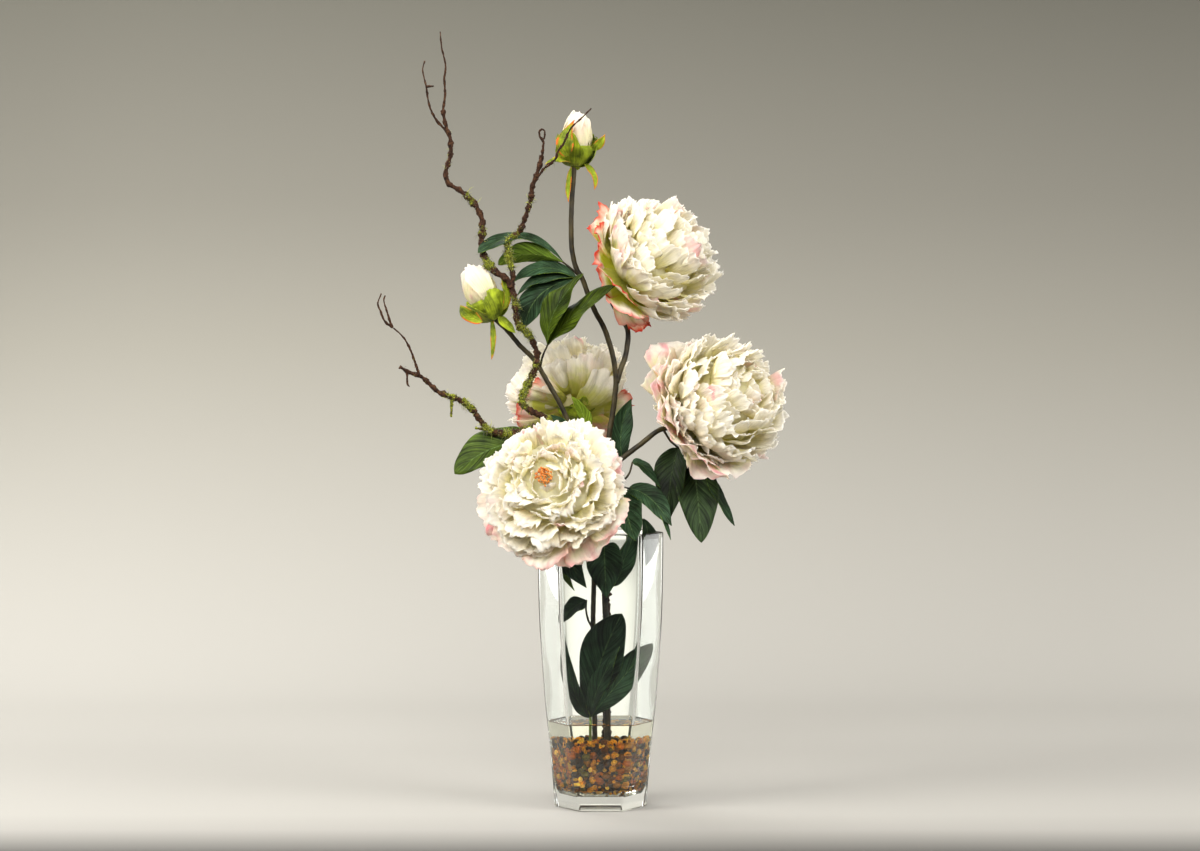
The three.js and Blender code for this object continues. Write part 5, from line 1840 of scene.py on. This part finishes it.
@dataclass
class Flower:
    """Where a flower's heart is, where it looks, how large it is, and how deep along its axis."""

    centre: tuple[float, float, float]
    axis: tuple[float, float, float]
    radius: float
    depth: float

    def __post_init__(self) -> None:
        """Works out the flower's own directions."""
        self.heart = seen(self.centre)[0]
        self.ahead = unit(np.array(self.axis, dtype=float))
        right = np.cross([0.0, 0.0, 1.0], self.ahead)
        if np.linalg.norm(right) < 0.2:
            right = np.array([1.0, 0.0, 0.0])
        self.right = unit(right - (right @ self.ahead) * self.ahead)
        self.up = np.cross(self.ahead, self.right)

    def round_axis(self, azimuth: np.ndarray) -> np.ndarray:
        """Directions square to the axis, at an azimuth round it."""
        return np.cos(azimuth)[..., None] * self.right + np.sin(azimuth)[..., None] * self.up

    def sideways(self, azimuth: np.ndarray) -> np.ndarray:
        """Directions square to the axis and to those at the same azimuth."""
        return self.round_axis(azimuth + np.pi / 2)

    def petals(self, style: PetalStyle, draw: np.random.Generator) -> Surface:
        """The sheets of a group of petals.

        The tips are spread evenly over the flower's ball, each a golden angle further round than
        the one before. A petal's middle line is a quadratic curve in angle and distance from a
        root further back. Its rim is rounded, notched and frayed. Square to the middle line's
        direction, in the plane of the axis, the sheet is cupped by the square of the distance
        from its middle, twisted, and fluted by waves across it that grow towards the rim.

        Args:
            style: the group's form.
            draw: the random number source.

        Returns:
            Open sheets with marks for the materials.
        """
        n = style.count

        def vary(low: float, high: float) -> np.ndarray:
            """Draws one number for each petal."""
            return draw.uniform(low, high, (n, 1, 1))

        k = np.arange(n)[:, None, None]
        back, front = np.cos(np.radians(style.tips))
        tip = np.degrees(np.arccos(back + (k + 0.5) / n * (front - back)))
        tip = tip + style.scatter * vary(-1, 1)
        spread = np.clip((tip - style.tips[1]) / (style.tips[0] - style.tips[1] + 1e-6), 0, 1)
        azimuth = GOLDEN_ANGLE * k + style.stray * vary(-1, 1) + 2 * np.pi * draw.random()
        if style.sector[1]:
            first, sweep = np.radians(style.sector)
            azimuth = first + sweep * (k + 0.5) / n + vary(-0.12, 0.12)
        lean = style.lean[1] + spread * (style.lean[0] - style.lean[1]) + style.sway * vary(-1, 1)
        half = (style.half[1] + spread * (style.half[0] - style.half[1])) * vary(0.78, 1.2)
        reach = style.reach + style.ragged * vary(-1.4, 1.0)
        u = np.linspace(0, 1, style.rows + 1)[None, :, None] ** 0.8
        v = np.linspace(-1, 1, style.columns + 1)[None, None]
        phase = [vary(0, 6.3) for _ in range(7)]
        notches = (
            0.6 * (1 - np.abs(np.sin(vary(1.2, 2.6) * v + phase[0]))) ** 2
            + 0.4 * (1 - np.abs(np.sin(vary(3.5, 6.5) * v + phase[1]))) ** 2)
        frayed = style.fray * draw.normal(0, 1, (n, 1, style.columns + 1)).clip(-2, 1)
        rim = 1 - style.rounding * v ** 2 - style.notch * notches + frayed
        s = u * rim
        angle = bezier(tip + lean, tip + 0.42 * lean, tip, s)
        angle = angle + style.curl * np.maximum(0, (s - 0.62) / 0.38) ** 2 * vary(0.5, 1.3)
        middle = style.root + 0.72 * (reach - style.root) + style.bulge
        distance = bezier(np.full_like(reach, style.root), middle, reach, s)
        distance = distance * (1 - style.layered * k / n)
        point = 1 - style.pinch * np.maximum(0, np.cos(np.radians(angle))) ** 1.5
        x = distance * np.sin(np.radians(angle)) * point
        z = distance * np.cos(np.radians(angle)) * self.depth
        dx, dz = np.gradient(x, axis=1), np.gradient(z, axis=1)
        slope = np.maximum(np.hypot(dx, dz), 1e-9)
        width = half * (0.35 + 0.65 * np.sin(np.pi / 2 * np.minimum(1.15 * s, 1)))
        growth = s ** 1.6
        pace = vary(2.8, 4.6)
        flutes = (
            0.8 * np.sin(pace * v + phase[2]) + 0.55 * np.sin(2.3 * pace * v + 2 * s + phase[3]) * s
            + 0.5 * np.sin(vary(12, 17) * v - 3 * s + phase[4]) * s ** 3) * growth
        buckle = 0.35 * np.sin(7 * s + 3 * v + phase[5]) * np.sqrt(s)
        twist = (style.twist * vary(-1, 1) + style.opened * np.sin(azimuth)) * s
        lift = (
            style.flute * (flutes + buckle) * (half / 0.25) ** 0.5
            - style.cup * vary(-0.2, 1.4) * width * v ** 2 + width * v * np.sin(twist))
        lateral = v * width * np.cos(twist) + 0.45 * style.flute * growth * np.cos(
            pace * v + phase[2] + 0.5)
        azimuth = np.broadcast_to(azimuth, lift.shape)
        out = x + dz / slope * lift
        along = z - dx / slope * lift
        points = self.heart + self.radius * (
            out[..., None] * self.round_axis(azimuth) + along[..., None] * self.ahead
            + lateral[..., None] * self.sideways(azimuth))
        edge = np.maximum(np.abs(v) ** 3 * u, u ** 2.5)
        coral = style.coral * np.clip(vary(0.4, 1.6), 0, 1)
        rosy = style.rosy * np.clip(vary(0.2, 1.4), 0, 1) + np.clip(vary(-6.0, 1.0), 0, 1)
        # The rise mark also places the painted shade that darkens each petal towards its root.
        return Surface.from_grid(
            points, edge=edge, coral=coral, rosy=rosy, green=style.green,
            rise=np.maximum(s, style.whiteness))

    def core(self, share: float, rise: float, folds: float = 0.0) -> Surface:
        """The ball that carries the petals, drawn in by a fifth towards the calyx.

        Slanting waves round it look like the petals deepest in the flower. They fade towards
        both of its poles.

        Args:
            share: its radius, as a share of the flower's.
            rise: the mark that says how far out on a petal its colour is.
            folds: how deep the waves are, as a share of its radius.

        Returns:
            A closed surface.
        """
        angle = np.linspace(0, np.pi, 25)[:, None]
        azimuth = np.linspace(0, 2 * np.pi, 49)[None]
        angle, azimuth = np.broadcast_arrays(angle, azimuth)
        fold = np.abs(np.sin(5 * azimuth + 3.5 * angle) * np.sin(6 * angle - 2 * azimuth)) ** 0.5
        reach = share * self.radius * (
            0.9 + 0.1 * np.cos(angle) - folds * (1 - fold) * np.sin(angle))[..., None]
        points = self.heart + reach * (
            np.sin(angle)[..., None] * self.round_axis(azimuth)
            + self.depth * np.cos(angle)[..., None] * self.ahead)
        return Surface.from_grid(points, rise=rise)


@dataclass
class PeonyHead:
    """What a bloom and a bud share: a name, with which its nodes' names begin, and its form."""

    name: str
    flower: Flower

    def dress(
        self, petals: Surface, thickness: float, heart: Surface, cup: tuple[str, Surface],
        sepals: Surface,
    ) -> None:
        """Makes the pieces that every flower has.

        Args:
            petals: the petals' sheets.
            thickness: how thick they are.
            heart: the ball that carries them.
            cup: how the name of the green cup ends, and its form.
            sepals: the sepals' sheets.
        """
        name = self.name
        Piece(f"{name}_petal_cloth", petals, [Cover.PETAL], "petal", (f"{name}_petals",),
              thickness=thickness).make()
        Piece(f"{name}_heart", heart, [Cover.PETAL], "petal", closed=True).make()
        Piece(f"{name}_{cup[0]}", cup[1], [Cover.SEPAL], "sepal", closed=True).make()
        Piece(f"{name}_sepals", sepals, [Cover.SEPAL], "sepal", (f"{name}_calyx",),
              thickness=SEPAL_THICKNESS).make()


@dataclass
class PeonyBloom(PeonyHead):
    """An open bloom with its calyx, and stamens where its heart is open.

    The button's rows are distances behind the petals and radii. A pin is a stamen's thread with
    its head, and its radii run from its root to its tip.
    """

    style: BloomStyle
    seed: int
    stamen_count: int = 0
    petal_thickness: float = 0.2
    button: tuple[tuple[float, float], ...] = ((0, 10.5), (3, 11.3), (7, 8.0), (11, 4.2))
    sepal_count: int = 5
    sepal_start: float = 6.0
    sepal_reach: tuple[float, float] = (19, 26)
    sepal_half: float = 6.6
    tuft_radius: float = 8.5
    pin_length: tuple[float, float] = (10, 15.5)
    pin_radii: tuple[float, ...] = (0.25, 0.22, 0.2, 0.25, 0.9, 1.1, 0.6)

    def calyx(self) -> list[Surface]:
        """The green button behind the petals, and its sepals as sheets.

        A sepal starts near the axis and is widest near its middle. It stands behind the petals,
        a little further back towards its tip and its rims, with a slow wave.

        Returns:
            The closed button and the open sepals.
        """
        flower = self.flower
        start = BLOOM_CORE * math.cos(math.radians(20)) * flower.radius * flower.depth + 0.3
        button = turned(flower.heart, -flower.ahead, flower.right, [
            (start + behind, radius) for behind, radius in self.button], 28)
        draw = np.random.default_rng(self.seed + 500)
        u = np.linspace(0, 1, 13)[None, :, None]
        v = np.linspace(-1, 1, 9)[None, None]
        count = self.sepal_count
        azimuth = 2 * np.pi * (
            np.arange(count)[:, None, None] + draw.uniform(0, 0.3, (count, 1, 1))) / count
        reach = draw.uniform(*self.sepal_reach, (count, 1, 1))
        distance = self.sepal_start + (reach - self.sepal_start) * u
        half = self.sepal_half * np.sin(np.pi * np.clip(0.12 + 0.86 * u, 0, 1)) ** 0.8
        behind = start + 2.4 + 0.1 * distance + 0.05 * (v * half) ** 2 + 0.6 * np.sin(
            7 * u + 2 * v)
        azimuth, distance, behind, across = np.broadcast_arrays(
            azimuth, distance, behind, v * half)
        points = (
            flower.heart - behind[..., None] * flower.ahead
            + distance[..., None] * flower.round_axis(azimuth)
            + across[..., None] * flower.sideways(azimuth))
        return [button, Surface.from_grid(points)]

    def stamens(self) -> Surface:
        """A tuft of threads with flocked heads, on the core's front.

        Returns:
            Closed surfaces, each with a tint that rises from its root to its tip.
        """
        flower = self.flower
        front = BLOOM_HEART * math.cos(math.radians(10)) * flower.radius * flower.depth
        draw = np.random.default_rng(self.seed + 700)
        pins = []
        for _ in range(self.stamen_count):
            out = flower.round_axis(np.array(2 * np.pi * draw.random()))
            spread = self.tuft_radius * math.sqrt(draw.random())
            height = draw.uniform(*self.pin_length)
            base = flower.heart + flower.ahead * (front - 1.0) + out * spread * 0.8
            tip = base + flower.ahead * height + out * spread * 0.3
            t = np.linspace(0, 1, len(self.pin_radii))[:, None]
            route = base + (tip - base) * t + out * 0.8 * np.sin(np.pi * t)
            pins.append(tube(route, np.array(self.pin_radii), 6, tint=t[:, 0]))
        return Surface.join(pins)

    def build(self) -> None:
        """Makes the petals, the calyx and the stamens."""
        draw = np.random.default_rng(self.seed)
        petals = Surface.join([self.flower.petals(group, draw) for group in self.style.groups()])
        # The heart takes the low colour of the ramp, painted shade deep in the bloom.
        heart = self.flower.core(BLOOM_HEART, 0.3, 0.16)
        button, sepals = self.calyx()
        self.dress(petals, self.petal_thickness, heart, ("button", button), sepals)
        if self.stamen_count:
            Piece(self.name + "_anthers", self.stamens(), [Cover.ANTHER], "stamen",
                  (self.name + "_stamens",), closed=True).make()


@dataclass
class PeonyBud(PeonyHead):
    """A closed bud: wrapped petals, a green cup of broad lobes, and narrow sepals.

    The cup's rows are distances behind the heart, as shares of the bud's half length, and radii,
    as shares of its radius.
    """

    sepals: list[Blade]
    seed: int
    lobe_tips: tuple[float, float] = (84, 78)
    petal_thickness: float = 0.35
    cup: tuple[tuple[float, float], ...] = (
        (0.2, 0.9), (0.3, 1.12), (0.55, 1.08), (0.85, 0.72), (1.0, 0.34), (1.12, 0.18))

    def build(self) -> None:
        """Makes the petals and the calyx."""
        flower = self.flower
        draw = np.random.default_rng(self.seed)
        wrap = flower.petals(PetalStyle(
            7, (16, 9), (105, 110), (0.66, 0.56), root=0.86, reach=1.02, bulge=0.12, ragged=0.05,
            scatter=3, sway=2, flute=0.07, notch=0.09, cup=0.42, twist=0.2, pinch=0.36,
            rounding=0.35, rosy=0.2, whiteness=0.42, stray=0.1, layered=0.13, rows=22,
            columns=18), draw)
        lobes = flower.petals(PetalStyle(
            5, self.lobe_tips, (82, 82), (0.98, 0.9), root=1.04, reach=1.26, bulge=0.08,
            ragged=0.03, scatter=3, sway=3, flute=0.02, notch=0.02, cup=0.3, twist=0.1,
            rounding=0.42, rows=16, columns=16), draw)
        narrow = [blade.surface(self.seed + k) for k, blade in enumerate(self.sepals)]
        half_length = flower.radius * flower.depth
        cup = turned(flower.heart, -flower.ahead, flower.right, [
            (behind * half_length, radius * flower.radius) for behind, radius in self.cup], 32)
        self.dress(
            wrap, self.petal_thickness, flower.core(BUD_HEART, 0.9), ("cup", cup),
            Surface.join([lobes, *narrow]))


@dataclass(frozen=True)
class BloomStyle:
    """What sets one bloom apart from the next.

    Coral, rosy and green say how strongly the guard petals are dipped at the edge, blushed, and
    sprayed green at the base. The guard petals reach a share of the radius, their tips stand at
    an angle from the axis, and they take a sector of azimuths, given by its first one and width.
    """

    coral: float = 0.0
    rosy: float = 0.0
    green: float = 0.0
    innermost: float = 4.0
    guard_reach: float = 1.04
    guard_tips: tuple[float, float] = (122, 104)
    sector: tuple[float, float] = (0.0, 0.0)
    guard_count: int = 8
    guard_half: tuple[float, float] = (0.44, 0.4)
    mass_count: int = 100
    mass_half: tuple[float, float] = (0.26, 0.17)
    mass_tips: tuple[float, float] = (98, 20)
    broad_tips: tuple[float, float] = (112, 76)
    mass_root: float = 0.57
    mass_lean: tuple[float, float] = (50, 18)
    unrest: float = 1.0
    flare: float = 5.0
    opened: float = 0.0

    def groups(self) -> tuple[PetalStyle, ...]:
        """The bloom's petals in the order in which they are made.

        Returns:
            The guard petals, the broad ones behind, the ruffled mass in front, and the small
            inner ones.
        """
        return (
            PetalStyle(
                self.guard_count, self.guard_tips, (44, 50), self.guard_half,
                reach=self.guard_reach, ragged=0.06, flute=0.04, notch=0.14, cup=0.2, curl=8,
                coral=self.coral, rosy=self.rosy, green=1.6 * self.green, sector=self.sector,
                twist=0.3, rounding=0.3, opened=self.opened, rows=14, columns=26),
            PetalStyle(
                18, self.broad_tips, (64, 50), (0.34, 0.3), root=0.58, reach=1.0, flute=0.034,
                cup=0.2, curl=0.7 * self.flare, rosy=0.3 * self.rosy, green=self.green, rows=12,
                columns=22),
            PetalStyle(
                self.mass_count, self.mass_tips, self.mass_lean, self.mass_half,
                root=self.mass_root, reach=0.98, ragged=0.09 * self.unrest, flute=0.034,
                notch=0.22, cup=0.18,
                curl=self.flare, scatter=11 * self.unrest, sway=17 * self.unrest,
                twist=0.7 * self.unrest, stray=0.3 * self.unrest, rows=9, columns=22),
            PetalStyle(
                30, (34, self.innermost), (16, 12), (0.18, 0.13), reach=0.92, ragged=0.08,
                flute=0.028, notch=0.2, cup=0.45, scatter=5, sway=8, twist=0.8, rows=9,
                columns=14),
        )


# Every bloom and bud from the top down, each with its seed.
FLOWERS = [
    PeonyBloom(
        "bloom_upper", Flower((54.5, 545.7, 0), (0.8, -0.28, 0.53), 67, 0.95),
        BloomStyle(
            coral=1.0, green=1.0, guard_count=12, sector=(0, 360), guard_reach=1.12,
            guard_tips=(98, 134), mass_tips=(94, 16), broad_tips=(104, 72), opened=0.75), 11),
    PeonyBloom(
        "bloom_right", Flower((120, 404, -8), (0.68, -0.65, 0.33), 67, 0.95),
        BloomStyle(
            coral=0.05, rosy=1.0, green=0.35, guard_reach=1.15, guard_tips=(106, 84),
            guard_count=9, guard_half=(0.6, 0.54), sector=(92, 168), mass_half=(0.32, 0.21),
            mass_lean=(54, 20), mass_count=104, flare=1.0, opened=0.4), 12),
    PeonyBloom(
        "bloom_front", Flower((-48.5, 319.5, -72), (-0.2, -0.93, 0.3), 70, 0.62),
        BloomStyle(
            coral=0.15, rosy=0.8, green=0.2, innermost=6.0, guard_reach=1.18,
            guard_tips=(98, 88), sector=(165, 175), mass_count=106, mass_half=(0.28, 0.2),
            mass_root=0.48, unrest=1.3, flare=9.0), 13, stamen_count=56),
    PeonyBloom(
        "bloom_back", Flower((-32, 416.7, 78), (-0.3, 0.62, 0.72), 62, 0.75),
        BloomStyle(
            coral=1.0, rosy=0.5, green=1.0, sector=(168, 212), guard_tips=(114, 100),
            guard_reach=1.14, guard_count=9, unrest=1.3, opened=0.6, guard_half=(0.5, 0.46)), 14),
    PeonyBud("bud_top", Flower((-23.5, 667, 0), (0.05, -0.1, 1), 16.5, 1.65), [
        Blade((-32, 651, -20), (-35, 666, -23), (-26, 686.5, -17), 17, (-0.2, -1, 0.1),
              coral=1.0, peak=0.35),
        Blade((-10, 657, -6), (-2, 662, -8), (4.5, 672, -8), 9, (0.3, -0.9, -0.3), coral=0.6),
        Blade((-30, 644, -10), (-44, 646, -14), (-55.5, 642, -16), 9, (0, -0.5, 0.9), coral=0.3),
        Blade((-29, 640, -5), (-32, 622, -8), (-32, 604.5, -8), 5.5, (-0.3, -1, 0.1), coral=0.8),
        Blade((-17, 643, -5), (-7, 632, -8), (-6, 617, -8), 7, (0.5, -0.9, 0.3), coral=0.8),
    ], 31),
    PeonyBud("bud_left", Flower((-119, 514.5, 0), (-0.46, -0.1, 0.89), 18, 1.6), [
        Blade((-118, 485, -18), (-132, 492, -21), (-140, 501.5, -19), 13, (-0.3, -1, 0.2),
              coral=1.0),
        Blade((-98, 497, -14), (-94, 515, -14), (-101, 535.5, -10), 11, (0.7, -0.7, 0.2),
              coral=0.6),
        Blade((-109, 490, -3), (-107, 467, -9), (-109, 447.5, -10), 6, (-0.3, -1, 0.1),
              coral=0.7),
        Blade((-102, 491, -4), (-94, 482, -8), (-85, 474, -10), 10, (0.1, -0.9, 0.5)),
    ], 33, (96, 88)),
]


def main() -> None:
    """Builds the scene, sub-assembly by sub-assembly."""
    logging.basicConfig(level=logging.INFO, format="%(name)s %(message)s")
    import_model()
    Studio().build()
    for part in (GlassVase(), PebbleBed(), FlowerStems(), CurlyBranch(), *LEAF_SPRAYS, *FLOWERS):
        part.build()


if __name__ == "__main__":
    main()
